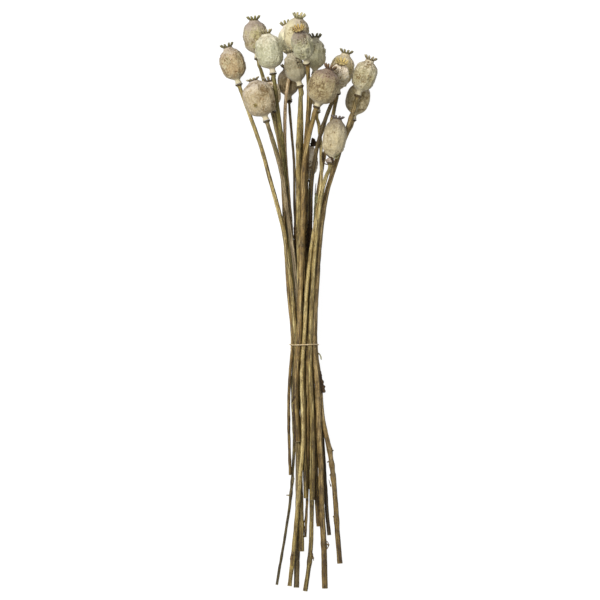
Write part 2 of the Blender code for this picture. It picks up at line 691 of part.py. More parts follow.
def make_tie(bunch, collection):
    """The elastic band round the stems."""
    level = int(np.abs(bunch.y - TIE_CENTRE[1]).argmin())
    spot = bunch.place[:, level] + bunch.shift[:, level]
    reach = bunch.radius[:, level] * bunch.slant()[:, level] + GAP + TIE_SPARE + TIE_THICKNESS / 2
    points = []
    for (x, z), radius in zip(spot, reach):
        for k in range(ROUND):
            angle = 2 * math.pi * k / ROUND
            points.append((x + radius * math.cos(angle), z + radius * math.sin(angle)))
    outline = np.array(hull(points))
    closed = np.vstack([outline, outline[:1]])
    run = np.concatenate([[0], np.cumsum(np.linalg.norm(np.diff(closed, axis=0), axis=1))])
    even = np.linspace(0, run[-1], TIE_POINTS, endpoint=False)
    x = np.interp(even, run, closed[:, 0])
    z = np.interp(even, run, closed[:, 1])
    line = [(a, bunch.y[level], b, TIE_THICKNESS / 2) for a, b in zip(x, z)]
    mesh = tube("tie", line, collection, cyclic=True)
    form = bmesh.new()
    form.from_mesh(mesh)
    clean(form)
    form.to_mesh(mesh)
    form.free()
    tie = bpy.data.objects.new("tie", mesh)
    collection.objects.link(tie)
    mesh.materials.clear()
    mesh.materials.append(new_material("tie_rubber", TIE_TAN))
    return tie


def centre_on_origin(things):
    """Moves the whole bunch so that its box stands centred over the origin."""
    corners = np.array([vert.co for thing in things for vert in thing.data.vertices])
    low, high = corners.min(axis=0), corners.max(axis=0)
    move = Matrix.Translation((-(low[0] + high[0]) / 2, -(low[1] + high[1]) / 2, -low[2]))
    for thing in things:
        thing.data.transform(move)


def main():
    """Clears the scene and builds the bunch."""
    for thing in list(bpy.data.objects):
        bpy.data.objects.remove(thing)
    collection = new_collection(BUNCH)
    bunch = Bunch(POPPIES)
    bunch.settle()
    things = []
    for i in range(len(POPPIES)):
        things.append(make_head(bunch, i, collection))
        things.append(make_stem(bunch, i, collection))
    things.append(make_tie(bunch, collection))
    centre_on_origin(things)


main()
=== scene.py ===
"""Finish of a tied bunch of dried poppy seed heads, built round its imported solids.

Each packed seed head is replaced by a finely wrinkled capsule with its rayed crown, each packed
stem by a fluted stalk with its dark ring, leaf joints and torn stubs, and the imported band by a
smooth elastic. A few withered shreds cling to them. Pieces are modelled in millimetres and placed
in metres.
"""

import itertools
import logging
import math
from collections.abc import Sequence
from dataclasses import dataclass
from enum import Enum

import bpy
import numpy as np
from mathutils import Matrix, Vector
from mathutils.bvhtree import BVHTree


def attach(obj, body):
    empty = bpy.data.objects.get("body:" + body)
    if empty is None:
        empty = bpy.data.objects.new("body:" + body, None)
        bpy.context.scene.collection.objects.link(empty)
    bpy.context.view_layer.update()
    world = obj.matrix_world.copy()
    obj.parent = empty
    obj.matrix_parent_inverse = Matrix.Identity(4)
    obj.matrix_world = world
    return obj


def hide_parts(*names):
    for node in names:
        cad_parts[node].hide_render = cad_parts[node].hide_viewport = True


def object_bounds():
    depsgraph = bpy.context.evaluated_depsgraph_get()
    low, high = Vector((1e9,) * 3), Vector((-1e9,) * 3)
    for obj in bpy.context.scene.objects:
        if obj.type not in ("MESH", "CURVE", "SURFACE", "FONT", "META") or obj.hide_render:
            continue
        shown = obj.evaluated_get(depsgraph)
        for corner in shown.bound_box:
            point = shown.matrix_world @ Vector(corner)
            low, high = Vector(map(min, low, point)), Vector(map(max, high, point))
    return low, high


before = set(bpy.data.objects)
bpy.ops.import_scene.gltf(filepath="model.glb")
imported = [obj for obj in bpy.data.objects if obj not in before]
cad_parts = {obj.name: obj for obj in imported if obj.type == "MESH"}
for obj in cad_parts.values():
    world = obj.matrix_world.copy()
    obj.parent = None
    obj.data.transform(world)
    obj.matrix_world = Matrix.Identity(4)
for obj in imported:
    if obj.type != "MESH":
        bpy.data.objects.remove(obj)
CAD_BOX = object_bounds()

log = logging.getLogger("poppies")

MM = 0.001
BODY = "root"

PIXELS = 600
PIXEL = 1.1246                 # millimetres across one pixel of the photograph
VIEW_CENTRE = (2.10, 2.59)     # point of the table under the middle of the photograph
VIEW_HEIGHT = 10.0             # metres
FOCUS_HEIGHT = 0.03            # metres over the table at which a pixel is that wide
SENSOR = 36.0

TABLE_CLEARANCE = 0.12         # lowest that anything may reach, over the table
BOX_CLEARANCE = 0.1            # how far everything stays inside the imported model's box

RAY_SEED = 100
BARK_SEED = 200
STUB_SEED = 300
SCRAP_SEED = 400


def select_only(piece: bpy.types.Object) -> None:
    """Selects one piece, makes it active and leaves everything else unselected.

    Args:
        piece: the piece.
    """
    bpy.ops.object.select_all(action="DESELECT")
    piece.select_set(True)
    bpy.context.view_layer.objects.active = piece


def corners_of(piece: bpy.types.Object) -> np.ndarray:
    """Corners of a piece's mesh, one row each.

    Args:
        piece: the piece.

    Returns:
        Their places, in the mesh's own units.
    """
    flat = np.empty(len(piece.data.vertices) * 3)
    piece.data.vertices.foreach_get("co", flat)
    return flat.reshape(-1, 3)


def put_corners(piece: bpy.types.Object, corners: np.ndarray) -> None:
    """Moves a piece's mesh corners to new places."""
    piece.data.vertices.foreach_set("co", np.ascontiguousarray(corners, np.float32).ravel())
    piece.data.update()


def note(piece: bpy.types.Object, name: str, values: np.ndarray) -> None:
    """Stores a three-part value at every corner, for the material to read."""
    layer = piece.data.attributes.new(name, "FLOAT_VECTOR", "POINT")
    layer.data.foreach_set("vector", np.ascontiguousarray(values, np.float32).ravel())


def columns(*parts: np.ndarray | float) -> np.ndarray:
    """Parts side by side, one column each; a plain number fills its whole column."""
    return np.stack(np.broadcast_arrays(*parts), axis=1)


def copy_of(blank: bpy.types.Object) -> bpy.types.Object:
    """A copy of a piece, with its own mesh.

    Args:
        blank: the piece.

    Returns:
        The copy.
    """
    piece = blank.copy()
    piece.data = blank.data.copy()
    bpy.context.scene.collection.objects.link(piece)
    return piece


def apply_modifiers(piece: bpy.types.Object) -> None:
    """Applies every modifier of a piece, in order.

    Args:
        piece: the piece.
    """
    select_only(piece)
    for modifier in list(piece.modifiers):
        bpy.ops.object.modifier_apply(modifier=modifier.name)


def subdivide(piece: bpy.types.Object, levels: int) -> None:
    """Rounds a coarse piece by Subdivision Surface.

    Args:
        piece: the piece.
        levels: how often each face is divided.
    """
    modifier = piece.modifiers.new("round", "SUBSURF")
    modifier.levels = levels
    modifier.render_levels = levels
    apply_modifiers(piece)


def face_outwards(piece: bpy.types.Object) -> None:
    """Turns every face of a closed piece outwards.

    Args:
        piece: the piece.
    """
    select_only(piece)
    bpy.ops.object.mode_set(mode="EDIT")
    bpy.ops.mesh.select_all(action="SELECT")
    bpy.ops.mesh.normals_make_consistent(inside=False)
    bpy.ops.object.mode_set(mode="OBJECT")


def join(pieces: Sequence[bpy.types.Object], name: str) -> bpy.types.Object:
    """Joins several pieces into one, under a new name.

    Args:
        pieces: what is joined, the first of which stays.
        name: the joined piece's name.

    Returns:
        The joined piece.
    """
    bpy.ops.object.select_all(action="DESELECT")
    for piece in pieces:
        piece.select_set(True)
    bpy.context.view_layer.objects.active = pieces[0]
    if len(pieces) > 1:
        bpy.ops.object.join()
    pieces[0].name = name
    pieces[0].data.name = name
    return pieces[0]


def hand_over(piece: bpy.types.Object, material: bpy.types.Material, node: str) -> None:
    """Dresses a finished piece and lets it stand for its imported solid.

    Args:
        piece: the finished piece.
        material: its finish.
        node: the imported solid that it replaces, or nothing for a scene extra.
    """
    piece.data.materials.clear()
    piece.data.materials.append(material)
    select_only(piece)
    bpy.ops.object.shade_smooth()
    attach(piece, BODY)
    if node:
        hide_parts(node)
    log.info("%s: %d faces", piece.name, len(piece.data.polygons))


def on_table(column: float, row: float) -> tuple[float, float]:
    """Place in millimetres under one pixel of the photograph."""
    middle = PIXELS / 2
    return (column - middle) * PIXEL + VIEW_CENTRE[0], (middle - row) * PIXEL + VIEW_CENTRE[1]


def keep_inside(points: np.ndarray) -> np.ndarray:
    """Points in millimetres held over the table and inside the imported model's box.

    Args:
        points: one row for each point.

    Returns:
        The points, moved only where they stood outside.
    """
    low = np.array(CAD_BOX[0]) / MM + BOX_CLEARANCE
    high = np.array(CAD_BOX[1]) / MM - BOX_CLEARANCE
    low[2] = TABLE_CLEARANCE
    return np.clip(points, low, high)


def smooth_step(values: np.ndarray, low: float, high: float) -> np.ndarray:
    """0 up to low, 1 from high on, and a soft rise in between."""
    share = np.clip((values - low) / (high - low), 0, 1)
    return share * share * (3 - 2 * share)


def grow(sides: int, stations: Sequence[tuple[float, float]]) -> bpy.types.Object:
    """Grows a closed round body upwards from a disc, ring by ring.

    Args:
        sides: corners of each ring.
        stations: (height, radius) of each ring, starting from the lowest.

    Returns:
        The new body, with its axis along Z.
    """
    height, radius = stations[0]
    bpy.ops.object.select_all(action="DESELECT")
    bpy.ops.mesh.primitive_circle_add(
        vertices=sides, radius=radius, fill_type="NGON", location=(0, 0, height))
    body = bpy.context.active_object
    bpy.ops.object.transform_apply(location=True)
    bpy.ops.object.mode_set(mode="EDIT")
    bpy.ops.mesh.select_all(action="SELECT")
    for (height, radius), (above, wider) in itertools.pairwise(stations):
        bpy.ops.mesh.extrude_region_move(TRANSFORM_OT_translate={"value": (0, 0, above - height)})
        share = wider / radius
        bpy.ops.transform.resize(value=(share, share, 1), center_override=(0, 0, above))
    bpy.ops.object.mode_set(mode="OBJECT")
    face_outwards(body)
    return body


def run_of(line: np.ndarray) -> np.ndarray:
    """Distance along a line at each of its points."""
    return np.concatenate([[0], np.cumsum(np.linalg.norm(np.diff(line, axis=0), axis=1))])


def heading_of(line: np.ndarray) -> np.ndarray:
    """Unit direction of a line at each of its points."""
    slope = np.gradient(line, axis=0)
    return slope / np.linalg.norm(slope, axis=1)[:, None]


def sample(places: np.ndarray, stations: np.ndarray, rows: np.ndarray) -> np.ndarray:
    """Rows read at places between their stations."""
    return columns(*(np.interp(places, stations, column) for column in rows.T))


def soften(points: np.ndarray, turns: int) -> np.ndarray:
    """Evens out a line's small corners, with its ends held.

    Args:
        points: one row for each point.
        turns: how often it is evened out.

    Returns:
        The softer line.
    """
    line = points.copy()
    for _ in range(turns):
        line[1:-1] = 0.25 * line[:-2] + 0.5 * line[1:-1] + 0.25 * line[2:]
    return line


def curve_through(points: np.ndarray, count: int) -> np.ndarray:
    """Smooth curve through points, sampled evenly along its length.

    Args:
        points: one row for each point.
        count: how many samples are wanted.

    Returns:
        The samples, one row each.
    """
    steps, least = 12, 1e-9
    ends = np.vstack([2 * points[0] - points[1], points, 2 * points[-1] - points[-2]])
    share = np.linspace(0, 1, steps, endpoint=False)[:, None]
    cube, square = share**3, share**2
    dense = []
    for a, b, c, d in zip(ends, ends[1:], ends[2:], ends[3:]):
        back, reach, on = (np.linalg.norm(gap) for gap in (b - a, c - b, d - c))
        before = (c - a) / max(reach + back, least) * reach
        after = (d - b) / max(on + reach, least) * reach
        dense.append((2 * cube - 3 * square + 1) * b + (cube - 2 * square + share) * before
                     + (3 * square - 2 * cube) * c + (cube - square) * after)
    line = np.vstack([*dense, points[-1:]])
    run = run_of(line)
    return sample(np.linspace(0, run[-1], count), run, line)


def sweep(name: str, spots: np.ndarray, radii: np.ndarray, bevel_resolution: int,
          closed: bool = False) -> bpy.types.Object:
    """Draws a round tube along a line, ring after ring.

    Args:
        name: name of the tube.
        spots: middle of each ring.
        radii: radius of each ring.
        bevel_resolution: how finely each ring is divided.
        closed: whether the last ring joins the first.

    Returns:
        The tube, as a mesh that is open at both ends unless it is closed.
    """
    data = bpy.data.curves.new(name, "CURVE")
    data.dimensions = "3D"
    data.bevel_depth = 1.0
    data.bevel_resolution = bevel_resolution
    spline = data.splines.new("POLY")
    spline.points.add(len(spots) - 1)
    spline.use_cyclic_u = closed
    for point, spot, radius in zip(spline.points, spots, radii):
        point.co = (*spot, 1)
        point.radius = radius
    tube = bpy.data.objects.new(name, data)
    bpy.context.scene.collection.objects.link(tube)
    select_only(tube)
    bpy.ops.object.convert(target="MESH")
    return bpy.context.active_object


class Grain:
    """Smooth random relief, the same each run for the same seed."""

    LATTICE = 256
    GAIN = 1.7              # brings the raw relief to about -1 to 1
    LAYER_SHIFT = 17.3      # keeps each finer layer from lining up with the coarser one
    LAYER_SUM = 1.4
    NET_SHIFT = 31.7
    NET_FALL = 1.6          # how much shallower each finer net is
    NET_SUM = 1.5

    def __init__(self, seed: int) -> None:
        """Draws the slopes at the corners of a lattice.

        Args:
            seed: sets this relief apart.
        """
        draw = np.random.default_rng(seed)
        self._order = np.tile(draw.permutation(self.LATTICE), 3)
        slopes = draw.normal(size=(self.LATTICE, 3))
        self._slopes = slopes / np.linalg.norm(slopes, axis=1)[:, None]

    def at(self, points: np.ndarray) -> np.ndarray:
        """Height of the relief at each point, about -1 to 1.

        Args:
            points: one row for each point.

        Returns:
            The heights.
        """
        cell = np.floor(points).astype(int)
        part = points - cell
        cell %= self.LATTICE
        fade = part**3 * (part * (part * 6 - 15) + 10)
        total = np.zeros(len(points))
        for corner in itertools.product((0, 1), repeat=3):
            x, y, z = (cell + np.array(corner)).T
            key = self._order[self._order[self._order[x] + y] + z]
            rise = ((part - np.array(corner)) * self._slopes[key]).sum(axis=1)
            weight = np.where(np.array(corner) == 1, fade, 1 - fade).prod(axis=1)
            total += rise * weight
        return total * self.GAIN

    def layers(self, points: np.ndarray, count: int) -> np.ndarray:
        """Relief with finer and finer detail added, about -1 to 1."""
        parts = [self.at(points * 2**k + self.LAYER_SHIFT * k) / 2**k for k in range(count)]
        return sum(parts) / self.LAYER_SUM

    def creases(self, points: np.ndarray, count: int, sharp: float = 3.0) -> np.ndarray:
        """Valleys in a net: 0 between them, towards 1 at their deepest.

        Args:
            points: one row for each point.
            count: how many nets, each finer than the last.
            sharp: how narrow the valleys are.

        Returns:
            The depth at each point.
        """
        total = 0
        for k in range(count):
            wall = np.minimum(np.abs(self.at(points * 2**k + self.NET_SHIFT * k)), 1)
            total += (1 - wall) ** sharp / self.NET_FALL**k
        return total / self.NET_SUM


class PackedSolid:
    """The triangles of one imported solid, in millimetres."""

    DOWNWARD = -0.6         # a normal's part along Y that counts as looking down the bunch
    ALIKE = 0.9995          # cosine between two normals that count as one
    LEVEL = 0.03            # how far apart two faces of one flat end may lie
    DIGITS = 3              # decimals to which corners are compared

    def __init__(self, node: str) -> None:
        """Reads the solid's triangles and their normals.

        Args:
            node: its name in the pack.
        """
        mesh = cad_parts[node].data
        mesh.calc_loop_triangles()
        corners = corners_of(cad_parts[node]) / MM
        index = np.array([triangle.vertices[:] for triangle in mesh.loop_triangles])
        self.triangles = corners[index]
        a, b, c = self.triangles.transpose(1, 0, 2)
        turn = np.cross(b - a, c - a)
        self.normals = turn / np.maximum(np.linalg.norm(turn, axis=1), 1e-12)[:, None]
        self.corners = np.unique(np.round(corners, self.DIGITS), axis=0)

    def lower_disc(self) -> tuple[np.ndarray, np.ndarray]:
        """Middle and outward normal of the flat end that looks down the bunch.

        Returns:
            The middle of the disc and its normal.
        """
        down = np.flatnonzero(self.normals[:, 1] < self.DOWNWARD)
        normals, middles = self.normals[down], self.triangles[down].mean(axis=1)
        alike = normals @ normals.T > self.ALIKE
        offset = (normals * middles).sum(axis=1)
        level = np.abs(normals @ middles.T - offset[:, None]) < self.LEVEL
        flat = alike & level
        best = int(flat.sum(axis=1).argmax())
        chosen = down[flat[best]]
        rim = np.unique(np.round(self.triangles[chosen].reshape(-1, 3), self.DIGITS), axis=0)
        normal = self.normals[chosen].mean(axis=0)
        return rim.mean(axis=0), normal / np.linalg.norm(normal)


TIP_DROP = 0.1          # how far under the highest corner a ray's tip may lie
TIP_RADIUS = 2.0        # and how far from the axis it lies at least
RIB_SHARE = 0.1         # how near to a rib its corners lie, as a share of the gap between two
RIB_RADIUS = 1.0
RING_GAP = 0.05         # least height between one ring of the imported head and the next


@dataclass(frozen=True)
class HeadForm:
    """Place and sizes of one seed head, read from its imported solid."""

    place: Matrix
    rays: int
    rings: np.ndarray
    crown_radius: float
    top: float

    @classmethod
    def read(cls, node: str) -> "HeadForm":
        """Measures a packed head.

        Args:
            node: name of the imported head.

        Returns:
            Its own frame (Z along the head, from the ring), its number of rays, its outline
            (height, radius) from the ring to the waist under the crown, and the crown's size.
        """
        solid = PackedSolid(node)
        middle, normal = solid.lower_disc()
        turn = Vector(-normal).to_track_quat("Z", "Y").to_matrix()
        local = (solid.corners - middle) @ np.array(turn)
        height, wide = local[:, 2], np.hypot(local[:, 0], local[:, 1])
        angle = np.arctan2(local[:, 1], local[:, 0]) % (2 * math.pi)
        tips = (height > height.max() - TIP_DROP) & (wide > TIP_RADIUS)
        rays = len(np.unique(np.round(angle[tips], 2)))
        column = angle * rays / (2 * math.pi)
        upward = np.array(turn)[2, 0] * np.cos(angle) + np.array(turn)[2, 1] * np.sin(angle) > 0
        rib = (np.abs(column - np.round(column)) < RIB_SHARE) & upward & (wide > RIB_RADIUS)
        order = np.flatnonzero(rib)[np.argsort(height[rib])]
        groups = np.split(order, np.flatnonzero(np.diff(height[order]) > RING_GAP) + 1)
        rings = np.array([(np.median(height[g]), np.median(wide[g])) for g in groups])
        last = int(rings[:, 1].argmax())
        while rings[last + 1, 1] < rings[last, 1]:
            last += 1
        crown = rings[last + 1:, 1].max()
        return cls(Matrix.Translation(middle) @ turn.to_4x4(), rays, rings[:last + 1], crown,
                   float(height.max()))

    def axis_line(self) -> np.ndarray:
        """Lowest and highest point of the head's axis."""
        return self.to_world(np.array([(0.0, 0.0, 0.0), (0.0, 0.0, self.top)]))

    def to_world(self, local: np.ndarray) -> np.ndarray:
        """Carries points from the head's own frame to the bunch, still in millimetres."""
        place = np.array(self.place)
        return local @ place[:3, :3].T + place[:3, 3]


class Surface(Enum):
    """How a capsule has dried."""

    SMOOTH = "smooth, with fine lengthwise streaks"
    CREASED = "a fine net of creases"
    CRUMPLED = "deeply shrivelled, mostly crosswise"


@dataclass(frozen=True)
class Relief:
    """Depths in millimetres and widths of the wrinkles of one kind of surface."""

    lump: float
    rib: float
    net: float
    net_size: float
    cross: float
    cord: float


RELIEFS = {
    Surface.SMOOTH: Relief(lump=0.70, rib=0.34, net=0.30, net_size=4.4, cross=0.15, cord=0.16),
    Surface.CREASED: Relief(lump=1.50, rib=0.46, net=0.95, net_size=4.6, cross=0.55, cord=0.20),
    Surface.CRUMPLED: Relief(lump=2.60, rib=0.40, net=1.35, net_size=5.6, cross=2.10, cord=0.14),
}


class Crown(Enum):
    """How far the rays of a crown stand up, and how they curl at the tips (minus is inwards)."""

    UPRIGHT = (1.0, 0.0)
    CURLED = (0.95, 1.0)
    SPREAD = (0.55, 0.15)
    WITHERED = (0.9, -0.8)


def paint(red: int, green: int, blue: int) -> tuple[float, float, float, float]:
    """Colour given as it looks on screen, 0 to 255, for a shader.

    Args:
        red: share of red.
        green: share of green.
        blue: share of blue.

    Returns:
        The colour as light, 0 to 1, and opaque.
    """
    parts = [value / 255 for value in (red, green, blue)]
    linear = [p / 12.92 if p <= 0.04045 else ((p + 0.055) / 1.055) ** 2.4 for p in parts]
    return (*linear, 1.0)


FINE_RELIEF = 0.5       # millimetres of fine relief in a capsule's skin and a stem's bark


class Mixer:
    """Puts together the shader nodes of one finish."""

    def __init__(self, name: str) -> None:
        """Starts an empty finish on one Principled shader.

        Args:
            name: name of the material.
        """
        self.material = bpy.data.materials.new(name)
        self.material.use_nodes = True
        self._tree = self.material.node_tree
        self.shader = self._tree.nodes["Principled BSDF"]

    def _feed(self, socket: bpy.types.NodeSocket, value: object) -> None:
        """Links a socket to another, or sets it to a plain value.

        Args:
            socket: the input.
            value: an output, or a value of the input's kind.
        """
        if isinstance(value, bpy.types.NodeSocket):
            self._tree.links.new(value, socket)
        else:
            socket.default_value = value

    def field(self, name: str) -> bpy.types.NodeSocket:
        """A three-part value stored on the mesh.

        Args:
            name: its name.

        Returns:
            The value.
        """
        node = self._tree.nodes.new("ShaderNodeAttribute")
        node.attribute_name = name
        return node.outputs["Vector"]

    def place(self) -> bpy.types.NodeSocket:
        """Place on the object, in metres."""
        return self._tree.nodes.new("ShaderNodeTexCoord").outputs["Object"]

    def parts(self, vector: bpy.types.NodeSocket) -> list[bpy.types.NodeSocket]:
        """The three parts of a vector.

        Args:
            vector: the vector.

        Returns:
            One output for each.
        """
        node = self._tree.nodes.new("ShaderNodeSeparateXYZ")
        self._feed(node.inputs[0], vector)
        return list(node.outputs)

    def stretch(self, vector: bpy.types.NodeSocket, scale: tuple[float, float, float],
                shift: tuple[float, float, float] = (0, 0, 0)) -> bpy.types.NodeSocket:
        """A vector scaled along its axes, and shifted.

        Args:
            vector: the vector.
            scale: factor along each axis.
            shift: what is added after the scaling.

        Returns:
            The new vector.
        """
        node = self._tree.nodes.new("ShaderNodeMapping")
        self._feed(node.inputs["Vector"], vector)
        node.inputs["Scale"].default_value = scale
        node.inputs["Location"].default_value = shift
        return node.outputs[0]

    def noise(self, vector: bpy.types.NodeSocket, scale: float, detail: float = 3.0,
              rough: float = 0.55, warp: float = 0.0) -> bpy.types.NodeSocket:
        """Cloudy noise, 0 to 1.

        Args:
            vector: place.
            scale: clouds per millimetre.
            detail: how many finer layers it has.
            rough: how strong they are.
            warp: how far they are pushed about.

        Returns:
            The noise.
        """
        node = self._tree.nodes.new("ShaderNodeTexNoise")
        self._feed(node.inputs["Vector"], vector)
        node.inputs["Scale"].default_value = scale
        node.inputs["Detail"].default_value = detail
        node.inputs["Roughness"].default_value = rough
        node.inputs["Distortion"].default_value = warp
        return node.outputs[0]

    def net(self, vector: bpy.types.NodeSocket, scale: float) -> bpy.types.NodeSocket:
        """Distance to the nearest line of an irregular net.

        Args:
            vector: place.
            scale: meshes of the net per millimetre.

        Returns:
            The distance, as a share of a mesh.
        """
        node = self._tree.nodes.new("ShaderNodeTexVoronoi")
        node.feature = "DISTANCE_TO_EDGE"
        self._feed(node.inputs["Vector"], vector)
        node.inputs["Scale"].default_value = scale
        return node.outputs["Distance"]

    def bend(self, vector: bpy.types.NodeSocket, scale: float,
             reach: float) -> bpy.types.NodeSocket:
        """A vector pushed about by a cloudy field, so that a pattern's lines wander.

        Args:
            vector: the vector.
            scale: clouds per millimetre.
            reach: how far they push it.

        Returns:
            The new vector.
        """
        cloud = self._tree.nodes.new("ShaderNodeTexNoise")
        self._feed(cloud.inputs["Vector"], vector)
        cloud.inputs["Scale"].default_value = scale
        cloud.inputs["Detail"].default_value = 2.0
        node = self._tree.nodes.new("ShaderNodeVectorMath")
        node.operation = "MULTIPLY_ADD"
        self._feed(node.inputs[0], cloud.outputs["Color"])
        node.inputs[1].default_value = (reach, reach, reach)
        self._feed(node.inputs[2], vector)
        return node.outputs[0]

    def freckles(self, vector: bpy.types.NodeSocket, scale: float, size: float,
                 share: float) -> bpy.types.NodeSocket:
        """Round spots strewn about, 1 on a spot.

        Args:
            vector: place.
            scale: places for a spot per millimetre.
            size: radius of a spot, against the gap between two.
            share: how many of the places have one, 0 to 1.

        Returns:
            The spots.
        """
        node = self._tree.nodes.new("ShaderNodeTexVoronoi")
        self._feed(node.inputs["Vector"], vector)
        node.inputs["Scale"].default_value = scale
        chosen = self.step(self.parts(node.outputs["Color"])[0], 0.97 - share, 1.03 - share)
        spot = self.step(node.outputs["Distance"], size * 0.5, size, 1, 0)
        return self.sum("MULTIPLY", chosen, spot)

    def step(self, value: bpy.types.NodeSocket, low: float, high: float, bottom: float = 0.0,
             top: float = 1.0) -> bpy.types.NodeSocket:
        """Soft step from bottom to top as the value goes from low to high.

        Args:
            value: what is read.
            low: where the step starts.
            high: where it ends.
            bottom: the result before it.
            top: the result after it.

        Returns:
            The result.
        """
        node = self._tree.nodes.new("ShaderNodeMapRange")
        node.interpolation_type = "SMOOTHSTEP"
        for name, number in (("From Min", low), ("From Max", high), ("To Min", bottom),
                             ("To Max", top)):
            node.inputs[name].default_value = number
        self._feed(node.inputs["Value"], value)
        return node.outputs["Result"]

    def sum(self, kind: str, first: object, second: object) -> bpy.types.NodeSocket:
        """Result of one Math node, such as ADD or MULTIPLY.

        Args:
            kind: the node's operation.
            first: a number or an output.
            second: a number or an output.

        Returns:
            The result.
        """
        node = self._tree.nodes.new("ShaderNodeMath")
        node.operation = kind
        self._feed(node.inputs[0], first)
        self._feed(node.inputs[1], second)
        return node.outputs[0]

    def blend(self, share: object, first: object, second: object,
              kind: str = "MIX") -> bpy.types.NodeSocket:
        """Mixes two colours.

        Args:
            share: how much of the second there is, 0 to 1.
            first: the colour below.
            second: the colour on top.
            kind: the way in which they mix.

        Returns:
            The mixed colour.
        """
        node = self._tree.nodes.new("ShaderNodeMix")
        node.data_type = "RGBA"
        node.blend_type = kind
        self._feed(node.inputs[0], share)
        self._feed(node.inputs[6], first)
        self._feed(node.inputs[7], second)
        return node.outputs[2]

    def finish(self, colour: bpy.types.NodeSocket, roughness: object, height: object,
               depth: float) -> bpy.types.Material:
        """Feeds the shader.

        Args:
            colour: base colour.
            roughness: roughness, a number or a socket.
            height: height of the fine relief, 0 to 1.
            depth: depth of that relief in millimetres.

        Returns:
            The finished material.
        """
        self._feed(self.shader.inputs["Base Color"], colour)
        self._feed(self.shader.inputs["Roughness"], roughness)
        bump = self._tree.nodes.new("ShaderNodeBump")
        bump.inputs["Strength"].default_value = 1.0
        bump.inputs["Distance"].default_value = depth * MM
        self._feed(bump.inputs["Height"], height)
        self._tree.links.new(bump.outputs[0], self.shader.inputs["Normal"])
        return self.material


DENT_SHADE = (170, 152, 112)
SPECKS = ((0.26, 0.34), (0.50, 0.38))   # places for a speck a millimetre, and its size in them


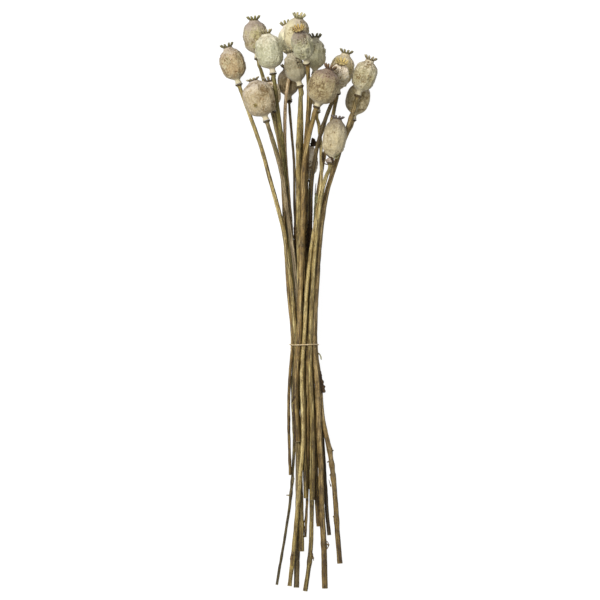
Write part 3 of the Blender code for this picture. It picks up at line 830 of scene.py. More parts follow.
@dataclass(frozen=True)
class CapsuleFinish:
    """Colours of a dried capsule, with the shares in which they cover it.

    Skin and stain are its two ground colours, bloom lies under the crown, crest is a painted
    highlight on the ridges between the creases, flank on the left side, root at the neck's foot and
    in the crown and also as painted shadow round the crown's base and under the rays' roots, and
    heart inside the crown.
    """

    skin: tuple
    stain: tuple
    bloom: tuple
    vein: tuple
    neck: tuple = (204, 193, 160)
    crown: tuple = (104, 94, 62)
    heart: tuple = (206, 190, 134)
    root: tuple = (88, 68, 54)
    tip: tuple = (176, 166, 132)
    speck: tuple = (128, 100, 62)
    crest_highlight: tuple = (222, 212, 184)
    stained: float = 0.6
    bloomed: float = 0.7
    veined: float = 0.45
    specked: float = 0.25
    ridge_highlighted: float = 0.35
    crease_shading: float = 0.95
    flank: tuple = (212, 202, 164)
    flanked: float = 0.0

    def material(self, name: str, seed: float) -> bpy.types.Material:
        """Makes the shader of one capsule and its crown.

        Args:
            name: name of the material.
            seed: shift of the patterns, so that no two capsules are alike.

        Returns:
            The material.
        """
        mix = Mixer(name)
        grain = mix.stretch(mix.field("grain"), (1, 1, 1), (seed * 37.0, seed * 11.0, 0))
        along, crest_highlight, dent = mix.parts(mix.field("form"))
        wander = mix.bend(grain, 0.22, 3.0)
        broad = mix.noise(grain, 0.10, 3, 0.6, 0.6)
        cloudy = mix.noise(grain, 0.34, 4, 0.62)
        fine = mix.noise(grain, 1.0, 4, 0.62)
        streaky = mix.noise(mix.stretch(wander, (1, 1, 0.16)), 0.7, 4, 0.6)
        mottle = mix.noise(mix.stretch(wander, (1, 1, 0.75)), 0.50, 4, 0.68)
        patchy = mix.step(mottle, 0.50, 0.60, 0, self.veined)

        colour = mix.blend(mix.step(broad, 0.42, 0.62, 0, self.stained), paint(*self.skin),
                           paint(*self.stain))
        for pattern, low, high in ((streaky, 0.86, 1.12), (cloudy, 0.84, 1.13), (fine, 0.88, 1.10)):
            colour = mix.blend(1.0, colour, mix.step(pattern, 0.3, 0.7, low, high), "MULTIPLY")
        ridges = mix.net(mix.stretch(mix.bend(grain, 0.5, 1.6), (1, 1, 0.8)), 0.36)
        # painted highlight: the crest highlight colour along a net of ridges, stronger where the
        # broad noise is low
        ridge_highlight = mix.sum("MULTIPLY", mix.step(ridges, 0.0, 0.16, 1, 0),
                        mix.step(broad, 0.35, 0.6, self.ridge_highlighted, 0.15 * self.ridge_highlighted))
        colour = mix.blend(ridge_highlight, colour, paint(*self.crest_highlight))
        colour = mix.blend(patchy, colour, paint(*self.vein))
        high = mix.sum("ADD", along, mix.step(cloudy, 0.2, 0.8, -0.18, 0.18))
        colour = mix.blend(mix.step(high, 0.64, 0.98, 0, self.bloomed), colour, paint(*self.bloom))
        if self.flanked:
            left = mix.parts(mix.field("lean"))[0]
            lit = mix.step(left, -0.1, 0.6, 0, self.flanked)
            colour = mix.blend(lit, colour, paint(*self.flank))
        for scale, size in SPECKS:
            dots = mix.freckles(wander, scale, size, self.specked)
            dots = mix.sum("MULTIPLY", dots, mix.step(cloudy, 0.36, 0.56, 0.30, 1.0))
            colour = mix.blend(dots, colour, paint(*self.speck))
        # painted highlight: the crest highlight colour laid on the ridges between the creases
        colour = mix.blend(mix.sum("MULTIPLY", crest_highlight, 0.42), colour, paint(*self.crest_highlight))
        # painted shade: darker in the creases, by how deep each corner lies in one
        colour = mix.blend(mix.sum("MULTIPLY", dent, self.crease_shading), colour, paint(*DENT_SHADE),
                           "MULTIPLY")
        colour = mix.blend(mix.step(along, 0.08, 0.20, 0.85, 0), colour, paint(*self.neck))
        colour = mix.blend(mix.step(along, 0.002, 0.014, 1, 0), colour, paint(*self.root))
        ray, tuft = self._tuft(mix, fine, cloudy, crest_highlight)
        colour = mix.blend(ray, colour, tuft)
        mix.shader.inputs["Sheen Weight"].default_value = 0.12
        mix.shader.inputs["Sheen Roughness"].default_value = 0.45
        mix.shader.inputs["Sheen Tint"].default_value = (0.93, 0.86, 0.95, 1)

        height = mix.sum("ADD", mix.sum("MULTIPLY", fine, 0.8), mix.sum("MULTIPLY", streaky, 0.6))
        height = mix.sum("ADD", height, mix.sum("MULTIPLY", patchy, -0.35))
        return mix.finish(colour, mix.step(cloudy, 0.3, 0.7, 0.62, 0.82), height, FINE_RELIEF)

    def _tuft(self, mix: Mixer, fine: bpy.types.NodeSocket, cloudy: bpy.types.NodeSocket,
              tip: bpy.types.NodeSocket) -> tuple[bpy.types.NodeSocket, bpy.types.NodeSocket]:
        """Colour of the crown, with painted shade round its base and under the rays' roots.

        Args:
            mix: the capsule's shader.
            fine: fine noise.
            cloudy: broader noise.
            tip: 1 at the tip of a ray.

        Returns:
            1 where the crown is, and its colour.
        """
        ray, inner, foot = mix.parts(mix.field("tuft"))
        colour = mix.blend(mix.step(fine, 0.35, 0.65), paint(*self.crown), paint(*self.root))
        worn = mix.sum("MULTIPLY", inner, mix.step(cloudy, 0.3, 0.6, 0.7, 1.0))
        colour = mix.blend(worn, colour, paint(*self.heart))
        colour = mix.blend(tip, colour, paint(*self.tip))
        # painted shade in the root colour: round the crown's base on the capsule, under the roots on
        # the rays
        return ray, mix.blend(foot, colour, paint(*self.root))


@dataclass(frozen=True)
class HeadLook:
    """Everything that sets one seed head apart from the others.

    The capsule is wrinkled from the share `wrinkled_from` of its height upwards, and shoulder and
    base say how full it is above and below its widest place (1 is as packed, less is fuller).
    """

    surface: Surface
    finish: CapsuleFinish
    crown: Crown = Crown.UPRIGHT
    wrinkled_from: float = -1.0
    shoulder: float = 1.0
    base: float = 0.85


HEAD_LOOKS = {
    "01": HeadLook(
        Surface.CREASED,
        CapsuleFinish(skin=(167, 155, 127), stain=(182, 174, 124), bloom=(166, 150, 138),
                      vein=(154, 134, 110), crown=(86, 81, 38), heart=(206, 196, 100),
                      root=(74, 62, 34), tip=(148, 144, 101), speck=(140, 118, 90), stained=0.95,
                      bloomed=0.9, veined=0.45, specked=0.35),
        shoulder=0.85, base=0.8),
    "02": HeadLook(
        Surface.CREASED,
        CapsuleFinish(skin=(178, 166, 128), stain=(184, 160, 118), bloom=(196, 182, 168),
                      vein=(164, 136, 96), crown=(79, 77, 41), root=(70, 60, 36),
                      tip=(120, 119, 84), neck=(204, 196, 164), speck=(130, 100, 62),
                      stained=0.9, veined=0.45, specked=0.9)),
    "03": HeadLook(
        Surface.CREASED,
        CapsuleFinish(skin=(180, 176, 144), stain=(168, 166, 130), bloom=(238, 230, 206),
                      vein=(166, 168, 134), crown=(105, 100, 62), root=(84, 72, 44),
                      neck=(208, 196, 170), crest_highlight=(214, 212, 188), veined=0.35, specked=0.0,
                      ridge_highlighted=0.8, crease_shading=0.45),
        shoulder=0.85, base=0.62),
    "04": HeadLook(
        Surface.SMOOTH,
        CapsuleFinish(skin=(255, 252, 216), stain=(255, 248, 200), bloom=(232, 216, 200),
                      vein=(214, 200, 158), crown=(124, 120, 78), root=(92, 84, 52),
                      tip=(178, 174, 132), veined=0.2, specked=0.05, crease_shading=0.3)),
    "05": HeadLook(
        Surface.CREASED,
        CapsuleFinish(skin=(188, 178, 146), stain=(176, 168, 134), bloom=(188, 174, 156),
                      vein=(152, 144, 108), crown=(132, 128, 88), root=(96, 88, 56),
                      tip=(182, 180, 144), veined=0.3, specked=0.12, flanked=0.9),
        shoulder=0.85),
    "06": HeadLook(
        Surface.CRUMPLED,
        CapsuleFinish(skin=(186, 182, 150), stain=(158, 154, 114), bloom=(134, 114, 106),
                      vein=(122, 116, 82), crown=(96, 72, 40), heart=(198, 166, 94),
                      root=(52, 36, 28), tip=(190, 172, 108), crest_highlight=(212, 208, 180),
                      speck=(112, 100, 70), stained=0.85, bloomed=0.8)),
    "07": HeadLook(
        Surface.CRUMPLED,
        CapsuleFinish(skin=(206, 200, 166), stain=(172, 166, 122), bloom=(198, 190, 170),
                      vein=(116, 112, 80), crown=(88, 86, 54), heart=(150, 146, 102),
                      root=(64, 58, 38), tip=(148, 144, 110), crest_highlight=(214, 210, 180),
                      speck=(104, 88, 70), stained=0.85, specked=0.35),
        wrinkled_from=0.45, shoulder=0.85),
    "08": HeadLook(
        Surface.CRUMPLED,
        CapsuleFinish(skin=(140, 130, 101), stain=(122, 114, 82), bloom=(198, 188, 164),
                      vein=(112, 104, 74), crown=(80, 72, 48), root=(52, 42, 30),
                      crest_highlight=(190, 182, 154), specked=0.2),
        wrinkled_from=0.42, base=0.75),
    "09": HeadLook(
        Surface.CREASED,
        CapsuleFinish(skin=(178, 163, 131), stain=(172, 154, 114), bloom=(210, 198, 184),
                      vein=(160, 138, 100), crown=(76, 67, 43), root=(66, 48, 38),
                      speck=(150, 116, 76), crest_highlight=(220, 206, 172), veined=0.4, specked=0.4,
                      ridge_highlighted=0.75),
        Crown.SPREAD, shoulder=0.8, base=0.7),
    "10": HeadLook(
        Surface.CREASED,
        CapsuleFinish(skin=(228, 212, 170), stain=(230, 212, 144), bloom=(228, 214, 188),
                      vein=(176, 158, 118), crown=(119, 112, 74), heart=(184, 174, 118),
                      root=(104, 92, 58), tip=(169, 162, 127), stained=0.8, veined=0.35,
                      specked=0.25)),
    "11": HeadLook(
        Surface.CRUMPLED,
        CapsuleFinish(skin=(196, 182, 144), stain=(212, 196, 160), bloom=(254, 240, 216),
                      vein=(140, 128, 98), crown=(158, 134, 74), heart=(220, 196, 122),
                      root=(70, 52, 34), tip=(206, 188, 130), crest_highlight=(255, 251, 242), stained=0.7,
                      bloomed=1.0, ridge_highlighted=0.5, crease_shading=0.45)),
    "12": HeadLook(
        Surface.CREASED,
        CapsuleFinish(skin=(172, 158, 118), stain=(158, 140, 100), bloom=(146, 124, 108),
                      vein=(130, 108, 74), crown=(84, 60, 38), heart=(150, 116, 70),
                      root=(52, 34, 26), tip=(130, 104, 74), speck=(104, 78, 50),
                      crest_highlight=(204, 192, 156), stained=0.85, bloomed=0.95, veined=0.5,
                      specked=0.95),
        Crown.WITHERED, shoulder=0.85, base=0.8),
    "13": HeadLook(
        Surface.CREASED,
        CapsuleFinish(skin=(186, 178, 145), stain=(174, 164, 122), bloom=(228, 216, 190),
                      vein=(164, 152, 112), crown=(116, 104, 70), root=(76, 60, 42),
                      tip=(184, 174, 146), speck=(126, 98, 58), stained=0.75, veined=0.3,
                      specked=0.75)),
    "14": HeadLook(
        Surface.SMOOTH,
        CapsuleFinish(skin=(202, 187, 144), stain=(186, 170, 122), bloom=(182, 170, 154),
                      vein=(120, 104, 68))),
    "15": HeadLook(
        Surface.CREASED,
        CapsuleFinish(skin=(194, 181, 145), stain=(182, 167, 127), bloom=(126, 113, 95),
                      vein=(170, 154, 120), crown=(86, 72, 60), heart=(140, 124, 104),
                      root=(54, 40, 36), tip=(130, 118, 110), bloomed=0.85, veined=0.2,
                      specked=0.15, crease_shading=0.55),
        Crown.CURLED, shoulder=0.9, base=0.75),
    "16": HeadLook(
        Surface.CREASED,
        CapsuleFinish(skin=(255, 243, 208), stain=(246, 226, 180), bloom=(248, 230, 208),
                      vein=(150, 124, 90), crown=(84, 64, 44), root=(54, 38, 28),
                      speck=(112, 82, 54), specked=0.8)),
    "17": HeadLook(
        Surface.SMOOTH,
        CapsuleFinish(skin=(152, 135, 100), stain=(136, 120, 86), bloom=(168, 154, 140),
                      vein=(122, 106, 76))),
    "18": HeadLook(
        Surface.CREASED,
        CapsuleFinish(skin=(255, 248, 226), stain=(244, 230, 196), bloom=(226, 212, 198),
                      vein=(140, 126, 104), crown=(42, 30, 22), heart=(60, 44, 30),
                      root=(30, 20, 14), tip=(52, 38, 26), veined=0.3)),
    "19": HeadLook(
        Surface.CREASED,
        CapsuleFinish(skin=(188, 172, 138), stain=(170, 152, 112), bloom=(184, 170, 156),
                      vein=(148, 130, 98))),
}


# The cup under the rays: (height, radius) as shares of the crown's height and radius.
CUP = ((0.10, 0.66), (0.22, 0.71), (0.33, 0.77), (0.39, 0.78), (0.36, 0.71), (0.26, 0.54),
       (0.22, 0.30), (0.26, 0.12), (0.28, 0.03))
CUP_RIM = 0.74

# A ray's middle line as (out, up) in shares of the crown's radius and height, how much of each
# point's curl it takes, and its breadth and thickness (station, size) along it.
RAY_ROOT = 0.27
RAY_PATH = np.array([(0.08, 0.27), (0.35, 0.25), (0.58, 0.29), (0.72, 0.42), (0.83, 0.60),
                     (0.92, 0.80), (0.99, 1.0)])
RAY_CURL = np.array([(0, 0), (0, 0), (0, 0), (0.02, 0.02), (0.08, 0.04), (0.11, -0.06),
                     (0.03, -0.42)])
RAY_BREADTH = ((0, 0.3, 0.5, 0.7, 0.9, 1.0), (0.20, 0.60, 1.55, 1.70, 1.50, 1.15))
RAY_THICKNESS = ((0, 0.3, 0.6, 1.0), (0.25, 0.45, 0.95, 0.80))
RAY_STATIONS = ((0.0, 0.7), (0.02, 1.0), (0.25, 1.0), (0.45, 1.0), (0.62, 1.0), (0.76, 1.0),
                (0.88, 1.0), (0.97, 0.92), (1.0, 0.6))
RAY_SIDES = 6
RAY_STEPS = 40
CROWN_RADIUS = 7.5      # radius of the crown for which those sizes are in millimetres
CROWN_RAYS = 10         # and its number of rays
FEWEST_RAYS = 9         # with fewer rays than this they grow no broader


@dataclass
class SeedHead:
    """One seed head: flared neck, wrinkled capsule and a crown of rays."""

    number: str
    look: HeadLook
    form: HeadForm
    columns_a_ray: int = 3
    cage_rings: int = 23
    levels: int = 2
    neck_flare: float = 1.42
    neck_girth: float = 1.12
    crown_spread: float = 1.06
    crown_lift: float = 1.22
    seam_width: float = 0.55
    seam_lift: float = 0.4
    flute: float = 0.35
    ray_sway: float = 0.35
    ray_turn: float = 0.03
    ray_fold: float = 0.35
    lump_size: tuple = (9.0, 9.0, 11.0)
    shrivel_size: float = 14.0
    warp_size: float = 6.0
    warp: float = 2.0
    cross_size: tuple = (12.5, 12.5, 4.4)

    @classmethod
    def of(cls, number: str) -> "SeedHead":
        """The head of one poppy, with its own look."""
        return cls(number, HEAD_LOOKS[number], HeadForm.read("head_" + number))

    def build(self) -> bpy.types.Object:
        """Models and dresses the head.

        Returns:
            The finished head.
        """
        seed = int(self.number)
        capsule = self._capsule(Grain(seed))
        rays = self._rays(np.random.default_rng(RAY_SEED + seed))
        head = join([capsule, *rays], "poppy_head_" + self.number)
        finish = self.look.finish.material("dried_capsule_" + self.number, float(seed))
        hand_over(head, finish, "head_" + self.number)
        return head

    def _outline(self) -> list[tuple[float, float]]:
        """Heights and radii of the cage, from the neck's foot to the middle of the crown.

        Returns:
            (height, radius) of each ring of the cage.
        """
        rings = self.form.rings.copy()
        widest = int(rings[:, 1].argmax())
        girth = rings[widest, 1]
        for part, fullness in ((slice(2, widest), self.look.base),
                               (slice(widest + 1, len(rings) - 1), self.look.shoulder)):
            rings[part, 1] = girth * (rings[part, 1] / girth) ** fullness
        foot, neck = rings[0], rings[1]
        rings[1, 1] *= self.neck_girth
        flare = np.array([(0.0, foot[1] * self.neck_flare),
                          (neck[0] * 0.18, foot[1] * (self.neck_flare * 0.5 + 0.52)),
                          (neck[0] * 0.55, neck[1] * 1.02)])
        side = curve_through(np.vstack([flare, rings[1:]]), self.cage_rings)
        waist, rise, reach = side[-1, 0], self.form.top - side[-1, 0], self.form.crown_radius
        cup = [(waist + rise * up, reach * out) for up, out in CUP]
        return [(0.0, side[0, 1] * 0.9), *map(tuple, side), *cup]

    def _capsule(self, grain: Grain) -> bpy.types.Object:
        """Neck, capsule and the cup of the crown in one closed skin.

        Args:
            grain: this head's own random relief.

        Returns:
            The capsule.
        """
        body = grow(self.form.rays * self.columns_a_ray, self._outline())
        subdivide(body, self.levels)
        local = corners_of(body)
        angle = np.arctan2(local[:, 1], local[:, 0])
        wide = np.maximum(np.hypot(local[:, 0], local[:, 1]), 1e-6)
        waist = self.form.rings[-1, 0]
        neck = self.form.rings[1, 0]
        height = np.clip((local[:, 2] - neck) / (waist - neck), 0, 1)
        body_share = smooth_step(height, 0.0, 0.16) * (1 - smooth_step(height, 0.93, 1.0))
        off_seam = (angle * self.form.rays / (2 * math.pi) + 0.5) % 1 - 0.5
        across = off_seam * 2 * math.pi / self.form.rays * wide
        seam = np.exp(-(across / self.seam_width) ** 2)
        push, deep = self._wrinkles(grain, local, off_seam, seam, height)
        over = local[:, 2] - waist
        inside_cup = (over > 0) & (wide < self.form.crown_radius * CUP_RIM)
        swell = self.flute * np.cos(2 * math.pi * off_seam)
        flute = np.where((over > 0) & ~inside_cup, swell, 0.0)
        out = columns(local[:, 0] / wide, local[:, 1] / wide, 0.0)
        shaped = local + out * (push * body_share + flute)[:, None]
        shaped[:, 2] += np.where(inside_cup, self.seam_lift * seam, 0.0)
        world = keep_inside(self.form.to_world(shaped))
        put_corners(body, world * MM)
        lean = (world[:, 0].mean() - world[:, 0]) / self.form.rings[:, 1].max()
        note(body, "lean", columns(lean, 0.0, 0.0))
        in_crown = smooth_step(over, -0.5, 0.5)
        # where a painted highlight goes: the ridges between the creases, off the crown
        crest_highlight = (1 - smooth_step(deep, 0.02, 0.22)) * body_share * (1 - in_crown)
        # how much painted shade each crease gets
        dent = smooth_step(deep, 0.30, 0.85) * body_share
        note(body, "grain", local)
        along = 0.9 * height + 0.1 * np.clip(local[:, 2] / neck, 0, 1)
        note(body, "form", columns(along, crest_highlight, dent))
        inner = np.where(inside_cup, 0.10 + 0.85 * seam, 0.25 * seam)
        # foot: painted shadow in a band round the crown's base, under its rim
        foot = smooth_step(over, -1.4, 0.1) * (1 - smooth_step(over, 0.3, 1.5))
        note(body, "tuft", columns(in_crown, inner, 0.85 * foot))
        return body

    def _wrinkles(self, grain: Grain, local: np.ndarray, off_seam: np.ndarray, seam: np.ndarray,
                  height: np.ndarray) -> tuple[np.ndarray, np.ndarray]:
        """Relief of the capsule's skin.

        Args:
            grain: this head's own random relief.
            local: corners in the head's frame.
            off_seam: -0.5 to 0.5 between one rib and the next.
            seam: 1 on a rib, 0 away from it.
            height: 0 at the neck, 1 at the crown.

        Returns:
            How far each corner moves outwards, and how deep it lies in a crease, 0 to 1.
        """
        relief = RELIEFS[self.look.surface]
        start = self.look.wrinkled_from
        where = 0.25 + 0.75 * smooth_step(height, start - 0.08, start + 0.12)
        patches = smooth_step(grain.at(local / self.shrivel_size + 5.0), -0.3, 0.4)
        shrivel = where * (0.45 + 0.55 * patches)
        lumps = grain.layers(local / self.lump_size, 2)
        bent = columns(*(grain.at(local / self.warp_size + k) for k in (3.1, 7.7, 11.9)))
        warped = local + self.warp * bent
        net = grain.creases(warped / (relief.net_size * np.array((1.0, 1.0, 1.3))), 2)
        cross = grain.creases(local / self.cross_size + 0.55 * bent[:, :1], 2, 2.4)
        cords = grain.layers(local * (0.8, 0.8, 0.09), 2)
        swell = np.cos(2 * math.pi * off_seam)
        whole = relief.net + relief.cross
        depth = (relief.net * net + relief.cross * cross) * shrivel
        ribs = relief.rib * (0.35 * swell + 0.8 * seam - 0.35)
        push = relief.lump * 0.5 * (lumps * where - 0.35) + ribs - depth + relief.cord * cords
        deep = (net * relief.net + cross * relief.cross) / whole * shrivel - 0.12 * lumps
        return push, deep

    def _rays(self, draw: np.random.Generator) -> list[bpy.types.Object]:
        """The crown's rays, each bent out and up from the middle of the cup.

        Args:
            draw: the crown's random numbers.

        Returns:
            The rays.
        """
        blank = grow(RAY_SIDES, RAY_STATIONS)
        subdivide(blank, 1)
        rays = [self._ray(copy_of(blank), place, draw) for place in range(self.form.rays)]
        bpy.data.objects.remove(blank)
        return rays

    def _ray(self, ray: bpy.types.Object, place: int,
             draw: np.random.Generator) -> bpy.types.Object:
        """Bends one ray into its place.

        Args:
            ray: a straight ray of unit length.
            place: its place in the crown, counted from 0.
            draw: the crown's random numbers.

        Returns:
            The ray.
        """
        waist = self.form.rings[-1, 0]
        rise, reach = self.form.top - waist, self.form.crown_radius
        size = reach / CROWN_RADIUS
        lift, curl = self.look.crown.value
        path = RAY_PATH * (self.crown_spread, 1) + RAY_CURL * curl * draw.uniform(0.4, 1.0)
        steep = lift * self.crown_lift * draw.uniform(0.86, 1.0)
        path[:, 1] = RAY_ROOT + (path[:, 1] - RAY_ROOT) * steep
        path[3:, 0] *= draw.uniform(0.96, 1.0)
        line = curve_through(path * (reach, rise), RAY_STEPS)
        thick_way, broad_way, share = corners_of(ray).T
        steps = np.arange(RAY_STEPS)
        along = np.clip(share, 0, 1) * steps[-1]
        spot = sample(along, steps, line)
        aim = sample(along, steps, heading_of(line))
        fold = self.ray_fold * np.abs(broad_way) ** 1.5 * smooth_step(share, 0.4, 0.8)
        lifted = (thick_way * np.interp(share, *RAY_THICKNESS) + fold) * size
        radial = spot[:, 0] - aim[:, 1] * lifted
        up = spot[:, 1] + aim[:, 0] * lifted
        finger = size * CROWN_RAYS / max(self.form.rays, FEWEST_RAYS)
        breadth = np.interp(share, *RAY_BREADTH) * finger
        sway = self.ray_sway * draw.normal() * smooth_step(share, 0.6, 1)
        side = broad_way * breadth + sway
        turn = 2 * math.pi * place / self.form.rays + draw.normal() * self.ray_turn
        local = columns(radial * math.cos(turn) - side * math.sin(turn),
                        radial * math.sin(turn) + side * math.cos(turn), up + waist)
        put_corners(ray, keep_inside(self.form.to_world(local)) * MM)
        tip = 0.8 * smooth_step(share, 0.72, 0.96)
        middle = 1 - smooth_step(np.abs(broad_way), 0.3, 0.8)
        inner = np.where(thick_way > 0.1, 0.25 + 0.7 * middle, 0.30 * middle)
        # foot: painted shade on the underside of the ray's lower half
        foot = (1 - smooth_step(share, 0.40, 0.66)) * (thick_way < 0)
        note(ray, "grain", local)
        note(ray, "form", columns(1.0, tip, 0.0))
        note(ray, "tuft", columns(1.0, inner, 0.6 * foot))
        return ray


HEXAGON = 1.5 * math.sqrt(3)    # area of a six-sided packed stem of radius 1
NECK_STEPS = (9.0, 7.0, 5.5, 4.0, 3.0, 2.0, 1.0, 0.3)   # places on the straight part at the ring
FOOT_MARGIN = 3.0
NECK_MARGIN = 2.0
CUT_STEP = 2.0
RING_DEPTH = 2.9
BULGE = 1.28            # a section that reaches out further than this has a stub in it
STUB_RISE = 0.75        # least height of a stub over the bark
STUB_REACH = 4.0        # how far along the stem one stub's corners lie at most
STUB_MARGIN = 3         # sections under the neck that carry no stub


@dataclass(frozen=True)
class StemLine:
    """Centre line and thickness of one stem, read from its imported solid."""

    spots: np.ndarray
    radii: np.ndarray
    ring: float
    stubs: tuple

    @classmethod
    def read(cls, node: str, head: HeadForm) -> "StemLine":
        """Measures a packed stem.

        Args:
            node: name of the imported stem.
            head: the head that it carries.

        Returns:
            Points from the cut end to the ring with the radius at each, the ring's radius, and
            the (root, tip) of each broken leaf stalk.
        """
        solid = PackedSolid(node)
        foot, _ = solid.lower_disc()
        place = np.array(head.place)
        collar, axis = place[:3, 3], place[:3, 2]
        straight = collar - NECK_STEPS[0] * axis
        levels = np.arange(foot[1] + FOOT_MARGIN, straight[1] - NECK_MARGIN, CUT_STEP)
        spots, sizes = [foot], []
        for level in levels:
            middle, size = cls._section(solid.triangles, level)
            spots.append(middle if size > 0 else spots[-1] * (1, 0, 1) + (0, level, 0))
            sizes.append(size)
        sizes = np.array(sizes)
        good = np.concatenate([[True], sizes > 0])
        spots = np.array(spots)
        for column in (0, 2):
            spots[:, column] = np.interp(spots[:, 1], spots[good, 1], spots[good, column])
        tail = [collar - axis * back for back in NECK_STEPS]
        spots = soften(np.vstack([spots, tail]), 3)
        spots[-len(tail):] = tail
        upright = heading_of(spots)[1:len(sizes) + 1, 1]
        true = np.sqrt(np.maximum(sizes, 0) * upright / HEXAGON)
        true = np.interp(levels, levels[sizes > 0], true[sizes > 0])
        radii = np.concatenate([[true[0]], true, np.full(len(tail), true[-1])])
        off = solid.corners - collar
        along = off @ axis
        ring = np.linalg.norm(off - np.outer(along, axis), axis=1)[along > -RING_DEPTH].max()
        return cls(spots, radii, ring, cls._stubs(solid, spots, radii))

    @staticmethod
    def _section(triangles: np.ndarray, level: float) -> tuple[np.ndarray, float]:
        """Middle and area of the cut at one place along Y; the area is 0 beside a stub.

        Args:
            triangles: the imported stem.
            level: the place.

        Returns:
            The cut's middle and its area.
        """
        side = triangles[:, :, 1] - level
        crossed = []
        for a, b in ((0, 1), (1, 2), (2, 0)):
            hit = side[:, a] * side[:, b] < 0
            share = side[hit, a] / (side[hit, a] - side[hit, b])
            start, end = triangles[hit, a], triangles[hit, b]
            crossed.append(start + (end - start) * share[:, None])
        points = np.vstack(crossed)[:, [0, 2]]
        middle = (points.min(axis=0) + points.max(axis=0)) / 2
        turn = np.arctan2(points[:, 1] - middle[1], points[:, 0] - middle[0])
        x, z = points[np.argsort(turn)].T
        next_x, next_z = np.roll(x, -1), np.roll(z, -1)
        twice = x * next_z - next_x * z
        area = twice.sum() / 2
        centre_x, centre_z = (((near + far) * twice).sum() / (6 * area)
                              for near, far in ((x, next_x), (z, next_z)))
        reach = np.hypot(x - centre_x, z - centre_z).max()
        plain = reach < BULGE * math.sqrt(area / HEXAGON)
        return np.array([centre_x, level, centre_z]), float(area) if plain else 0.0

    @staticmethod
    def _stubs(solid: PackedSolid, spots: np.ndarray, radii: np.ndarray) -> tuple:
        """Root and tip of each stub that stands out of the stem.

        Args:
            solid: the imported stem.
            spots: points along its middle.
            radii: its radius at each of them.

        Returns:
            One (root, tip) for each stub.
        """
        line = spots[:-len(NECK_STEPS)]
        gaps = np.linalg.norm(solid.corners[:, None] - line[None], axis=2)
        nearest = gaps.argmin(axis=1)
        out = gaps.min(axis=1) - radii[nearest]
        away = (nearest < len(line) - STUB_MARGIN) & (nearest > 0)
        far = np.flatnonzero((out > STUB_RISE) & away)
        found = []
        while len(far):
            tip = far[out[far].argmax()]
            close = np.abs(solid.corners[far, 1] - solid.corners[tip, 1]) < STUB_REACH
            point = solid.corners[far[close]].mean(axis=0)
            root = line[nearest[tip]]
            found.append((root, point))
            far = far[~close]
        return tuple(found)


HOLLOW_SHADE = (136, 106, 60)


@dataclass(frozen=True)
class BarkFinish:
    """Colours of a dried stem: young is its green upper part, tail what dulls its lower part."""

    bark: tuple
    dark: tuple
    light: tuple
    young: tuple = (158, 148, 92)
    ring: tuple = (64, 50, 26)
    pith: tuple = (196, 180, 138)
    greened: float = 0.6
    tail: tuple = (188, 180, 150)

    def material(self, name: str, seed: float) -> bpy.types.Material:
        """Makes the shader of one stem.

        Args:
            name: name of the material.
            seed: shift of the patterns, so that no two stems are alike.

        Returns:
            The material.
        """
        mix = Mixer(name)
        fibre = mix.stretch(mix.field("fibre"), (1, 1, 1), (seed * 23.0, seed * 7.0, seed * 50.0))
        along, ring, cut = mix.parts(mix.field("place"))
        knot, hollow, _ = mix.parts(mix.field("knots_and_shade"))
        long = mix.noise(mix.stretch(fibre, (1, 1, 0.04)), 0.8, 4, 0.6)
        strands = mix.noise(mix.stretch(fibre, (1, 1, 0.07)), 2.4, 3, 0.6)
        blotch = mix.noise(mix.stretch(fibre, (1, 1, 0.35)), 0.20, 4, 0.68)
        speck = mix.noise(mix.stretch(fibre, (1, 1, 0.45)), 1.1, 4, 0.68)
        colour = mix.blend(mix.step(blotch, 0.44, 0.60, 0, 0.85), paint(*self.bark),
                           paint(*self.dark))
        colour = mix.blend(mix.step(long, 0.50, 0.64, 0, 0.85), colour, paint(*self.light))
        colour = mix.blend(mix.step(long, 0.32, 0.44, 0.75, 0), colour, paint(*self.dark))
        green = mix.sum("MULTIPLY", mix.step(along, 0.80, 1.0, 0, self.greened),
                        mix.step(blotch, 0.4, 0.55))
        colour = mix.blend(green, colour, paint(*self.young))
        for pattern, low, high in ((strands, 0.72, 1.22), (speck, 0.70, 1.20)):
            colour = mix.blend(1.0, colour, mix.step(pattern, 0.32, 0.68, low, high), "MULTIPLY")
        colour = mix.blend(mix.step(speck, 0.60, 0.68, 0, 0.55), colour, paint(*self.light))
        dots = mix.freckles(mix.stretch(fibre, (1, 1, 0.5)), 0.8, 0.34, 0.4)
        colour = mix.blend(mix.sum("MULTIPLY", dots, 0.75), colour, paint(*self.ring))
        # painted shade: the grooves between the flutes darkened with the hollow shade colour
        colour = mix.blend(mix.sum("MULTIPLY", hollow, 0.9), colour, paint(*HOLLOW_SHADE),
                           "MULTIPLY")
        colour = mix.blend(mix.step(along, 0.04, 0.36, 1, 0), colour, paint(*self.tail),
                           "MULTIPLY")
        colour = mix.blend(knot, colour, paint(*self.ring))
        colour = mix.blend(ring, colour, mix.blend(mix.step(speck, 0.4, 0.6), paint(*self.ring),
                                                   paint(*self.dark)))
        colour = mix.blend(cut, colour, paint(*self.pith))
        height = mix.sum("ADD", mix.sum("MULTIPLY", strands, 0.8), mix.sum("MULTIPLY", speck, 0.6))
        return mix.finish(colour, mix.step(strands, 0.3, 0.7, 0.42, 0.66), height, FINE_RELIEF)


